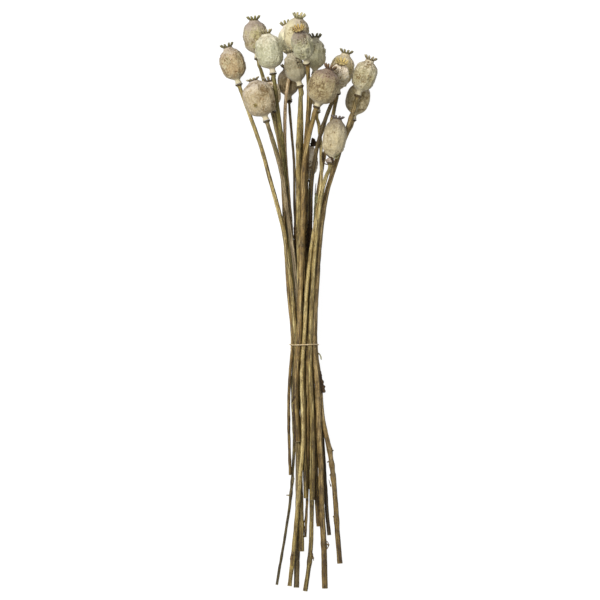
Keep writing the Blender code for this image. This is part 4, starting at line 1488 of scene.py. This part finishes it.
OCHRE = BarkFinish((168, 146, 84), (88, 70, 22), (228, 212, 150))
GREYING = BarkFinish((150, 134, 78), (74, 62, 28), (212, 198, 144), tail=(164, 160, 142))
STRAW = BarkFinish((202, 180, 114), (132, 108, 52), (240, 224, 166), greened=0.2,
                   tail=(206, 200, 172))
TAUPE = BarkFinish((152, 134, 98), (88, 74, 40), (200, 184, 146), greened=0.3)
TAN = BarkFinish((246, 216, 166), (184, 150, 100), (255, 240, 206), greened=0.1)
RUSSET = BarkFinish((168, 142, 86), (94, 72, 30), (220, 196, 142), greened=0.3)
GREEN = BarkFinish((138, 126, 62), (70, 60, 18), (200, 190, 122), greened=0.7)
BROWN = BarkFinish((150, 122, 66), (76, 56, 16), (212, 188, 126), greened=0.4)
DARK = BarkFinish((98, 78, 38), (50, 36, 12), (150, 132, 84), greened=0.3)

STEM_LOOKS = {
    "01": GREYING, "02": OCHRE, "03": GREEN, "04": OCHRE, "05": TAN, "06": BROWN, "07": BROWN,
    "08": OCHRE, "09": TAUPE, "10": DARK, "11": BROWN, "12": BROWN, "13": RUSSET, "14": RUSSET,
    "15": OCHRE, "16": BROWN, "17": DARK, "18": GREEN, "19": STRAW,
}

# The ring under the head: distance back from the head, and share of the ring's height there.
RING_PROFILE = ((0.3, 0.6, 0.95, 1.4, 1.8, 2.2, 2.8, 4.0),
                (0.82, 0.92, 1.0, 1.0, 0.94, 0.66, 0.30, 0.0))
RING_STEPS = 12
RING_EDGE = (2.2, 3.1)  # distance back from the head over which the ring gives way to bark
END_REACH = 0.01        # metres from the cut end within which a corner belongs to it
KNOT_REACH = 2.2        # how far a stub darkens the bark round its root
KNOT_SHADE = 0.6

# A torn stub: (height, radius) in shares of its length and thickness, down into its hollow end.
STUB_STATIONS = ((-0.45, 0.5), (-0.4, 1.15), (0.0, 1.2), (0.14, 0.98), (0.4, 0.72), (0.7, 0.62),
                 (0.92, 0.66), (1.0, 0.5), (0.86, 0.30), (0.72, 0.12))
STUB_SIDES = 10
STUB_SUNK = 0.75        # how deep it sits in the stalk, as a share of the stalk's radius
STUB_WIDTH = 0.5        # its thickness as a share of the stalk's
THICKEST_STUB = 1.25
STUB_ROUGHNESS = 0.22
STUB_TORN = 0.35


@dataclass
class Stem:
    """One stalk: fluted bark, leaf joints, torn stubs and the dark ring under the head."""

    number: str
    line: StemLine
    finish: BarkFinish
    spacing: float = 2.4
    ring_spacing: float = 0.34
    bevel_resolution: int = 8
    round_share: float = 0.95
    flutes: int = 7
    flute: float = 0.06
    fibre_relief: float = 0.20
    lump_relief: float = 0.30
    ring_relief: float = 0.32
    cut_inset: float = 0.28
    tip_inset: float = 0.4
    pith_inset: float = 0.12
    pith_depth: float = 0.5

    @property
    def sides(self) -> int:
        """Corners round the stalk."""
        return 2 * self.bevel_resolution + 4

    def build(self) -> bpy.types.Object:
        """Models and dresses the stalk.

        Returns:
            The finished stalk.
        """
        seed = int(self.number)
        grain = Grain(BARK_SEED + seed)
        stations, radii, back = self._stations()
        stalk = sweep("stalk", stations, radii, self.bevel_resolution)
        self._shape(stalk, stations, radii, back, grain)
        self._close(stalk)
        stubs = self._stubs(np.random.default_rng(STUB_SEED + seed))
        stem = join([stalk, *stubs], "poppy_stem_" + self.number)
        face_outwards(stem)
        finish = self.finish.material("dried_stem_" + self.number, float(seed))
        hand_over(stem, finish, "stem_" + self.number)
        return stem

    def _stations(self) -> tuple[np.ndarray, np.ndarray, np.ndarray]:
        """Places along the stalk, the radius at each, and the distance back from the head.

        Returns:
            The middle, the radius and the distance back of each ring of corners.
        """
        spots, radii, ring = self.line.spots, self.line.radii * self.round_share, self.line.ring
        run = run_of(spots)
        whole = run[-1]
        places = np.unique(np.round(np.concatenate([
            (0.0, 0.5, 1.2), np.arange(2.4, whole - 8.0, self.spacing),
            np.arange(whole - 8.0, whole - 3.9, 1.2),
            np.arange(whole - 3.6, whole, self.ring_spacing), (whole,)]), 3))
        centre = sample(places, run, spots)
        centre = np.vstack([centre[:1], soften(centre, 2)[1:-RING_STEPS], centre[-RING_STEPS:]])
        radius = np.interp(places, run, radii)
        back = whole - places + RING_PROFILE[0][0]
        radius += (ring - radius[-1]) * np.interp(back, *RING_PROFILE)
        return centre, radius, back

    def _shape(self, stalk: bpy.types.Object, stations: np.ndarray, radii: np.ndarray,
               back: np.ndarray, grain: Grain) -> None:
        """Flutes the bark, roughens the ring and stores what the material reads.

        Args:
            stalk: the plain tube.
            stations: middle of each ring of corners.
            radii: radius of each ring of corners.
            back: distance of each ring of corners from the head.
            grain: this stalk's own random relief.
        """
        corners = corners_of(stalk)
        centre = np.repeat(stations, self.sides, axis=0)
        radius = np.repeat(radii, self.sides)
        far = np.repeat(back, self.sides)
        out = corners - centre
        out /= np.linalg.norm(out, axis=1)[:, None]
        angle = np.tile(np.arange(self.sides) * 2 * math.pi / self.sides, len(stations))
        run = far.max() - far
        fibre = columns(radius * np.cos(angle), radius * np.sin(angle), run)
        in_ring = 1 - smooth_step(far, *RING_EDGE)
        slow = grain.at(columns(run / 60, 0.0, 0.0)) * 1.5
        flutes = np.cos(self.flutes * angle + 2 * slow) * self.flute * radius
        fine = grain.layers(fibre * (0.9, 0.9, 0.07), 3)
        lumps = grain.layers(fibre * (0.25, 0.25, 0.10) + 40, 2)
        jagged = grain.at(columns(np.cos(angle) * 3, np.sin(angle) * 3, far * 0.8) + 9)
        bark = flutes + self.fibre_relief * fine + self.lump_relief * lumps
        push = (1 - in_ring) * bark + in_ring * self.ring_relief * jagged
        put_corners(stalk, keep_inside(centre + out * (radius + push)[:, None]) * MM)
        # hollow: painted shade in the flute grooves, away from the ring
        groove = 0.3 - fine - 6 * flutes / np.maximum(radius, 0.1)
        hollow = np.clip(groove, 0, 1) * (1 - in_ring)
        knots = np.zeros(len(run))
        for root, _ in self.line.stubs:
            near = np.exp(-(np.linalg.norm(centre - root, axis=1) / KNOT_REACH) ** 2)
            knots = np.maximum(knots, KNOT_SHADE * near)
        note(stalk, "fibre", fibre)
        note(stalk, "place", columns(run / run.max(), in_ring, 0.0))
        note(stalk, "knots_and_shade", columns(knots, hollow * 0.8, 0.0))

    def _close(self, stalk: bpy.types.Object) -> None:
        """Closes both ends, with a sunk pith in the cut one.

        Args:
            stalk: the open tube.
        """
        mesh = stalk.data
        before = len(mesh.vertices)
        low = np.arange(self.sides)
        high = np.arange(before - self.sides, before)
        select_only(stalk)
        for rim, is_cut in ((low, True), (high, False)):
            bpy.ops.object.mode_set(mode="EDIT")
            bpy.ops.mesh.select_mode(type="VERT")
            bpy.ops.mesh.select_all(action="DESELECT")
            bpy.ops.object.mode_set(mode="OBJECT")
            for index in rim:
                mesh.vertices[int(index)].select = True
            bpy.ops.object.mode_set(mode="EDIT")
            bpy.ops.mesh.edge_face_add()
            thickness = float(self.line.radii[0 if is_cut else -1]) * MM
            inset = self.cut_inset if is_cut else self.tip_inset
            bpy.ops.mesh.inset(thickness=thickness * inset, depth=0.0)
            if is_cut:
                bpy.ops.mesh.inset(thickness=thickness * self.pith_inset,
                                   depth=-self.pith_depth * MM)
            bpy.ops.object.mode_set(mode="OBJECT")
            mesh = stalk.data
        place = mesh.attributes["place"].data
        for vertex in mesh.vertices[before:]:
            is_low = (vertex.co - Vector(self.line.spots[0]) * MM).length < END_REACH
            place[vertex.index].vector = (0.0, 0.0, 1.0) if is_low else (1.0, 1.0, 0.0)

    def _stubs(self, draw: np.random.Generator) -> list[bpy.types.Object]:
        """The torn ends of leaf stalks that stand out of the joints.

        Args:
            draw: the stubs' random numbers.

        Returns:
            The stubs.
        """
        if not self.line.stubs:
            return []
        blank = grow(STUB_SIDES, STUB_STATIONS)
        subdivide(blank, 1)
        stubs = [self._stub(copy_of(blank), root, tip, Grain(int(draw.integers(1, 9999))))
                 for root, tip in self.line.stubs]
        bpy.data.objects.remove(blank)
        return stubs

    def _stub(self, stub: bpy.types.Object, root: np.ndarray, tip: np.ndarray,
              grain: Grain) -> bpy.types.Object:
        """Turns one straight stub into its place.

        Args:
            stub: a straight stub of unit length.
            root: where it leaves the stalk's middle.
            tip: where it ends.
            grain: its own random relief.

        Returns:
            The stub.
        """
        unit = corners_of(stub)
        nearest = int(np.linalg.norm(self.line.spots - root, axis=1).argmin())
        thick = float(self.line.radii[nearest])
        sunk = thick * STUB_SUNK
        aim = tip - root
        reach = float(np.linalg.norm(aim))
        start = root + aim / reach * sunk
        turn = np.array(Vector(aim).to_track_quat("Z", "Y").to_matrix())
        wide = min(THICKEST_STUB, thick * STUB_WIDTH)
        rough = grain.at(unit * (1.4, 1.4, 2.0))
        local = unit * (wide, wide, reach - sunk)
        local[:, :2] *= (1 + STUB_ROUGHNESS * rough)[:, None]
        local[:, 2] += STUB_TORN * rough * smooth_step(unit[:, 2], 0.6, 1.0)
        put_corners(stub, (local @ turn.T + start) * MM)
        knot = 0.35 + 0.6 * smooth_step(unit[:, 2], 0.3, 1.0)
        note(stub, "fibre", local)
        note(stub, "place", np.tile((0.5, 0.0, 0.0), (len(unit), 1)))
        # the stub takes the groove shade colour at 0.3 all over, besides its dark knot
        note(stub, "knots_and_shade", columns(knot, 0.3, 0.0))
        return stub


@dataclass(frozen=True)
class ElasticFinish:
    """Colours of the thin elastic band."""

    rubber: tuple = (190, 166, 124)
    worn: tuple = (222, 204, 166)
    dusty: tuple = (136, 112, 72)

    def material(self, name: str) -> bpy.types.Material:
        """Makes the shader of the band.

        Args:
            name: name of the material.

        Returns:
            The material.
        """
        mix = Mixer(name)
        around = mix.field("fibre")
        cloudy = mix.noise(around, 0.35, 3)
        fine = mix.noise(mix.stretch(around, (1, 1, 0.2)), 2.0, 3)
        colour = mix.blend(mix.step(cloudy, 0.4, 0.65), paint(*self.rubber), paint(*self.worn))
        colour = mix.blend(mix.step(fine, 0.55, 0.7, 0, 0.5), colour, paint(*self.dusty))
        return mix.finish(colour, mix.step(cloudy, 0.3, 0.7, 0.42, 0.6), fine, depth=0.08)


@dataclass
class Band:
    """The elastic band that holds the stems."""

    finish: ElasticFinish
    points: int = 160
    bevel_resolution: int = 4
    overlap: int = 3            # cross sections repeated at either end before it is smoothed
    start: float = 0.2          # radians
    waviness: float = 0.35      # millimetres
    joint_gap: float = 0.05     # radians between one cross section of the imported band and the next

    def build(self) -> bpy.types.Object:
        """Models and dresses the band.

        Returns:
            The finished band.
        """
        solid = PackedSolid("tie")
        middle = (solid.corners.min(axis=0) + solid.corners.max(axis=0)) / 2
        off = solid.corners - middle
        thick = float(np.abs(off[:, 1]).max())
        turn = np.arctan2(off[:, 2], off[:, 0])
        off, turn = off[np.argsort(turn)], np.sort(turn)
        joints = np.flatnonzero(np.diff(turn) > self.joint_gap) + 1
        centres = np.array([group.mean(axis=0) for group in np.split(off, joints)])
        wrapped = np.vstack([centres[-self.overlap:], centres, centres[:self.overlap]])
        line = curve_through(wrapped, self.points * 2)
        angles = np.unwrap(np.arctan2(line[:, 2], line[:, 0]))
        even = np.linspace(0, 2 * math.pi, self.points, endpoint=False) + angles[0] + self.start
        reach = np.interp(even, angles, np.hypot(line[:, 0], line[:, 2]))
        route = middle + columns(reach * np.cos(even), self.waviness * np.sin(2 * even),
                                 reach * np.sin(even))
        band = sweep("band", route, np.full(self.points, thick), self.bevel_resolution, closed=True)
        corners = corners_of(band)
        put_corners(band, corners * MM)
        note(band, "fibre", corners)
        face_outwards(band)
        band.name = "elastic_band"
        band.data.name = "elastic_band"
        hand_over(band, self.finish.material("tan_elastic"), "tie")
        return band


@dataclass(frozen=True)
class ScrapFinish:
    """Colours of a withered shred of leaf or bark."""

    leaf: tuple
    shade: tuple
    edge: tuple

    def material(self, name: str) -> bpy.types.Material:
        """Makes the shader of the shreds of one colour.

        Args:
            name: name of the material.

        Returns:
            The material.
        """
        mix = Mixer(name)
        spot = mix.stretch(mix.place(), (1 / MM, 1 / MM, 1 / MM))
        cloudy = mix.noise(spot, 0.35, 4, 0.65)
        fibre = mix.noise(mix.stretch(spot, (1, 0.2, 1)), 1.6, 3)
        colour = mix.blend(mix.step(cloudy, 0.42, 0.60), paint(*self.leaf), paint(*self.shade))
        colour = mix.blend(mix.step(fibre, 0.54, 0.68, 0, 0.7), colour, paint(*self.edge))
        return mix.finish(colour, mix.step(cloudy, 0.3, 0.7, 0.7, 0.9), fibre, depth=0.25)


DARK_LEAF = ScrapFinish((68, 48, 24), (42, 29, 12), (112, 86, 52))
TORN_BARK = ScrapFinish((116, 92, 54), (82, 62, 34), (160, 136, 88))
PALE_GREEN = ScrapFinish((150, 148, 108), (112, 108, 66), (188, 184, 148))
GREY_SKIN = ScrapFinish((172, 158, 142), (120, 104, 90), (208, 196, 184))
SCAR = ScrapFinish((140, 124, 72), (104, 88, 44), (172, 156, 104))


@dataclass(frozen=True)
class Scrap:
    """One shred: the node that it clings to, its middle line and its half widths.

    The line is given by pixels of the photograph from its root on, the half widths in millimetres
    at even steps along it, and `rise` is how far its tip stands off what carries it.
    """

    carrier: str
    pixels: tuple
    half_widths: tuple
    rise: float = 0.5


SCAR_PLACE = (255.6, 106.1)    # pixel at the middle of the scar on the lowest left head
SCAR_REACH = 2.5               # pixels
SCAR_POINTS = 6
SCAR_TURN = 0.3

SCRAPS = {
    "withered_leaves": (DARK_LEAF, (
        Scrap("head_18", ((312.3, 137.5), (313.6, 141.5), (313.6, 146)), (0.4, 2.9, 3.4, 3.0)),
        Scrap("head_15", ((331.9, 158.8), (327, 155.3), (321.9, 152.2)), (0.55, 0.5, 0.35)),
        Scrap("head_15", ((330.6, 157), (332.2, 160), (333.2, 164)), (0.6, 1.5, 1.3, 0.5), 0.8),
        Scrap("head_15", ((334, 161.3), (331.3, 164), (326.9, 164.7), (323.8, 163.1),
                          (321.9, 161.3)), (0.5, 0.7, 0.6, 0.5, 0.4)),
        Scrap("stem_19", ((322.6, 153), (323.5, 156.5), (322.8, 160.5)), (0.5, 1.7, 1.5, 0.4)),
        Scrap("stem_10", ((311.6, 206.5), (311, 214), (310.2, 222), (309.2, 232), (309, 244),
                          (309.5, 254)), (0.5, 1.7, 2.3, 3.4, 3.2, 1.4)),
        Scrap("stem_11", ((315.1, 195), (315.4, 189), (316, 183)), (0.5, 0.45, 0.3)),
        Scrap("stem_14", ((320.5, 371), (321.3, 380), (322.6, 388), (323.4, 393)),
              (0.5, 1.4, 2.3, 2.6, 2.2)),
        Scrap("stem_12", ((294.8, 396), (292.9, 400), (291.2, 402.6)), (1.2, 1.0, 0.3)),
        Scrap("stem_12", ((293.4, 404), (293.6, 412), (293.6, 422), (294.4, 432), (295.5, 442)),
              (0.8, 1.1, 0.9, 1.2, 0.6)),
        Scrap("stem_09", ((296.2, 443), (298.8, 444.6), (301.3, 443.2)), (0.8, 1.4, 0.9)),
        Scrap("stem_06", ((305.5, 516), (304.6, 521), (304, 526), (305.2, 531), (304.2, 538)),
              (0.4, 0.5, 0.4, 0.55, 0.3)),
        Scrap("stem_14", ((331, 487), (329.8, 483), (329, 480)), (0.6, 0.4, 0.25)))),
    "torn_bark": (TORN_BARK, (
        Scrap("stem_17", ((294.4, 222), (295.2, 235), (296, 250), (297, 264)),
              (0.8, 1.8, 2.0, 0.8)),
        Scrap("stem_13", ((325.8, 541), (328.3, 543.5), (328.2, 547.5), (326, 550.5)),
              (0.4, 0.5, 0.5, 0.4)),
        Scrap("stem_04", ((311, 551), (312.6, 557), (313.7, 561.5)), (0.6, 1.1, 0.3)),
        Scrap("stem_19", ((292.9, 552), (291.4, 557), (291.8, 566)), (0.6, 1.3, 0.6)))),
    "green_curls": (PALE_GREEN, (
        Scrap("head_15", ((333.5, 160), (335, 156.9), (340, 153.4)), (0.4, 0.5, 0.35), 1.0),
        Scrap("head_15", ((334.2, 158), (336.8, 158.4), (338.5, 156)), (0.3, 0.6, 0.4), 0.8),
        Scrap("stem_11", ((314.2, 222), (314.6, 210), (314.9, 203), (315.2, 194)),
              (0.9, 0.9, 0.7, 0.5)),
        Scrap("stem_11", ((315.6, 193), (317, 197.5), (316.5, 203)), (0.3, 1.3, 0.8)),
        Scrap("stem_14", ((318.5, 353), (320.6, 356), (321.3, 360)), (0.5, 0.8, 0.4)))),
    "shrivelled_collar": (GREY_SKIN, (
        Scrap("head_15", ((331.6, 158.2), (329, 160.2), (326, 162)), (1.4, 2.5, 2.9, 2.0), 0.2),)),
    "star_scar": (SCAR, tuple(
        Scrap("head_09", (SCAR_PLACE, (SCAR_PLACE[0] + SCAR_REACH * math.cos(turn),
                                       SCAR_PLACE[1] + SCAR_REACH * math.sin(turn))),
              (0.5, 0.7, 0.3), 0.0)
        for turn in np.arange(SCAR_POINTS) * 2 * math.pi / SCAR_POINTS + SCAR_TURN)),
}


@dataclass
class WitheredScraps:
    """Dry shreds of leaf and bark that cling to the heads and stalks.

    Each carrier is a finished piece with the row of points (x, y, z) along its middle. A shred's
    edge is torn in steps of tear_size, and its sheet crumpled in steps of crumple_size.
    """

    carriers: dict[str, tuple[bpy.types.Object, np.ndarray]]
    width_steps: int = 6
    length_steps: int = 34
    thickness: float = 0.35
    tear: float = 0.512
    tear_size: float = 1.9
    crumple: float = 0.5
    crumple_size: float = 2.6

    def build(self) -> None:
        """Models and dresses the shreds, one piece for each colour."""
        for name, (finish, scraps) in SCRAPS.items():
            shreds = [self._shred(scrap, Grain(SCRAP_SEED + len(name) + place))
                      for place, scrap in enumerate(scraps)]
            piece = join(shreds, name)
            face_outwards(piece)
            hand_over(piece, finish.material(name), "")

    def _top(self, carrier: str, x: np.ndarray, y: np.ndarray) -> np.ndarray:
        """Height of a carrier's upper side, or of its middle beside it.

        Args:
            carrier: name of the node that it stands for.
            x: places to the right.
            y: places along the bunch.

        Returns:
            The height at each place.
        """
        piece, line = self.carriers[carrier]
        mesh = piece.data
        tree = BVHTree.FromPolygons([vertex.co for vertex in mesh.vertices],
                                    [face.vertices for face in mesh.polygons])
        heights = np.interp(y, line[:, 1], line[:, 2])
        for place, (east, north) in enumerate(zip(x * MM, y * MM)):
            hit = tree.ray_cast(Vector((east, north, 1.0)), Vector((0, 0, -1)))[0]
            if hit is not None:
                heights[place] = hit.z / MM
        return heights

    def _shred(self, scrap: Scrap, grain: Grain) -> bpy.types.Object:
        """One torn sheet along its line, laid over what carries it.

        Args:
            scrap: its place and widths.
            grain: its own random relief.

        Returns:
            The shred, with a thickness.
        """
        bpy.ops.object.select_all(action="DESELECT")
        bpy.ops.mesh.primitive_grid_add(
            x_subdivisions=self.width_steps, y_subdivisions=self.length_steps, size=2)
        shred = bpy.context.active_object
        across, share, _ = corners_of(shred).T
        share = (share + 1) / 2
        way = curve_through(np.array([on_table(*pixel) for pixel in scrap.pixels]),
                            self.length_steps)
        even = np.linspace(0, 1, self.length_steps)
        x, y = sample(share, even, way).T
        along_x, along_y = sample(share, even, heading_of(way)).T
        steps = np.linspace(0, 1, len(scrap.half_widths))
        torn = share * run_of(way)[-1] / self.tear_size
        rough = grain.at(columns(torn, np.sign(across) * 3.3, 0.0))
        wide = np.interp(share, steps, scrap.half_widths) * (1 + self.tear * rough)
        x, y = x - along_y * across * wide, y + along_x * across * wide
        ruffle = grain.layers(columns(x, y, 0.0) / self.crumple_size, 2)
        lift = self.thickness * 0.5 + scrap.rise * share**1.5
        z = self._top(scrap.carrier, x, y) + lift + self.crumple * np.abs(ruffle)
        put_corners(shred, keep_inside(columns(x, y, z)) * MM)
        wall = shred.modifiers.new("wall", "SOLIDIFY")
        wall.thickness = self.thickness * MM
        wall.offset = 0.0
        apply_modifiers(shred)
        return shred


@dataclass
class Studio:
    """Pale table, soft light and the camera over the bunch."""

    table_size: float = 8.0
    table_shade: float = 0.12
    key_power: float = 66.0
    key_size: float = 1.2
    key_colour: tuple = (1.0, 0.985, 0.96)
    key_place: tuple = (-1.1, 0.8, 2.3)
    fill: float = 0.48
    glow: float = 0.96

    def build(self) -> None:
        """Sets the table, the lights and the camera."""
        self._table()
        self._lights()
        self._camera()

    def _table(self) -> None:
        """A plain white table that gives off a little light, as a light box does."""
        bpy.ops.object.select_all(action="DESELECT")
        bpy.ops.mesh.primitive_plane_add(size=self.table_size)
        table = bpy.context.active_object
        table.name = "white_table"
        material = bpy.data.materials.new("white_table")
        material.use_nodes = True
        shader = material.node_tree.nodes["Principled BSDF"]
        shader.inputs["Base Color"].default_value = (*[self.table_shade] * 3, 1)
        shader.inputs["Roughness"].default_value = 0.9
        shader.inputs["Specular IOR Level"].default_value = 0.1
        shader.inputs["Emission Color"].default_value = (1, 1, 1, 1)
        shader.inputs["Emission Strength"].default_value = self.glow
        table.data.materials.append(material)
        table.visible_diffuse = False
        table.visible_glossy = False

    def _lights(self) -> None:
        """One broad soft light from the upper left, over an even white surround."""
        light = bpy.data.lights.new("window", "AREA")
        light.shape = "DISK"
        light.size = self.key_size
        light.energy = self.key_power
        light.color = self.key_colour
        lamp = bpy.data.objects.new("window", light)
        lamp.location = self.key_place
        lamp.rotation_euler = (-lamp.location).to_track_quat("-Z", "Y").to_euler()
        bpy.context.scene.collection.objects.link(lamp)
        world = bpy.data.worlds.new("even_surround")
        world.use_nodes = True
        surround = world.node_tree.nodes["Background"]
        surround.inputs["Color"].default_value = (1, 1, 1, 1)
        surround.inputs["Strength"].default_value = self.fill
        bpy.context.scene.world = world

    def _camera(self) -> None:
        """A long lens straight over the bunch, framed as the photograph is."""
        camera = bpy.data.cameras.new("overhead")
        camera.sensor_width = SENSOR
        camera.lens = SENSOR * (VIEW_HEIGHT - FOCUS_HEIGHT) / (PIXELS * PIXEL * MM)
        camera.clip_end = 100.0
        mount = bpy.data.objects.new("overhead", camera)
        mount.location = (VIEW_CENTRE[0] * MM, VIEW_CENTRE[1] * MM, VIEW_HEIGHT)
        bpy.context.scene.collection.objects.link(mount)
        bpy.context.scene.camera = mount
        bpy.context.scene.view_settings.view_transform = "Standard"


def main() -> None:
    """Builds the studio, the poppies in order, the band and the withered shreds."""
    logging.basicConfig(level=logging.INFO, format="%(name)s: %(message)s")
    Studio().build()
    carriers = {}
    for number in HEAD_LOOKS:
        head = SeedHead.of(number)
        line = StemLine.read("stem_" + number, head.form)
        carriers["head_" + number] = head.build(), head.form.axis_line()
        carriers["stem_" + number] = Stem(number, line, STEM_LOOKS[number]).build(), line.spots
    Band(ElasticFinish()).build()
    WitheredScraps(carriers).build()


if __name__ == "__main__":
    main()
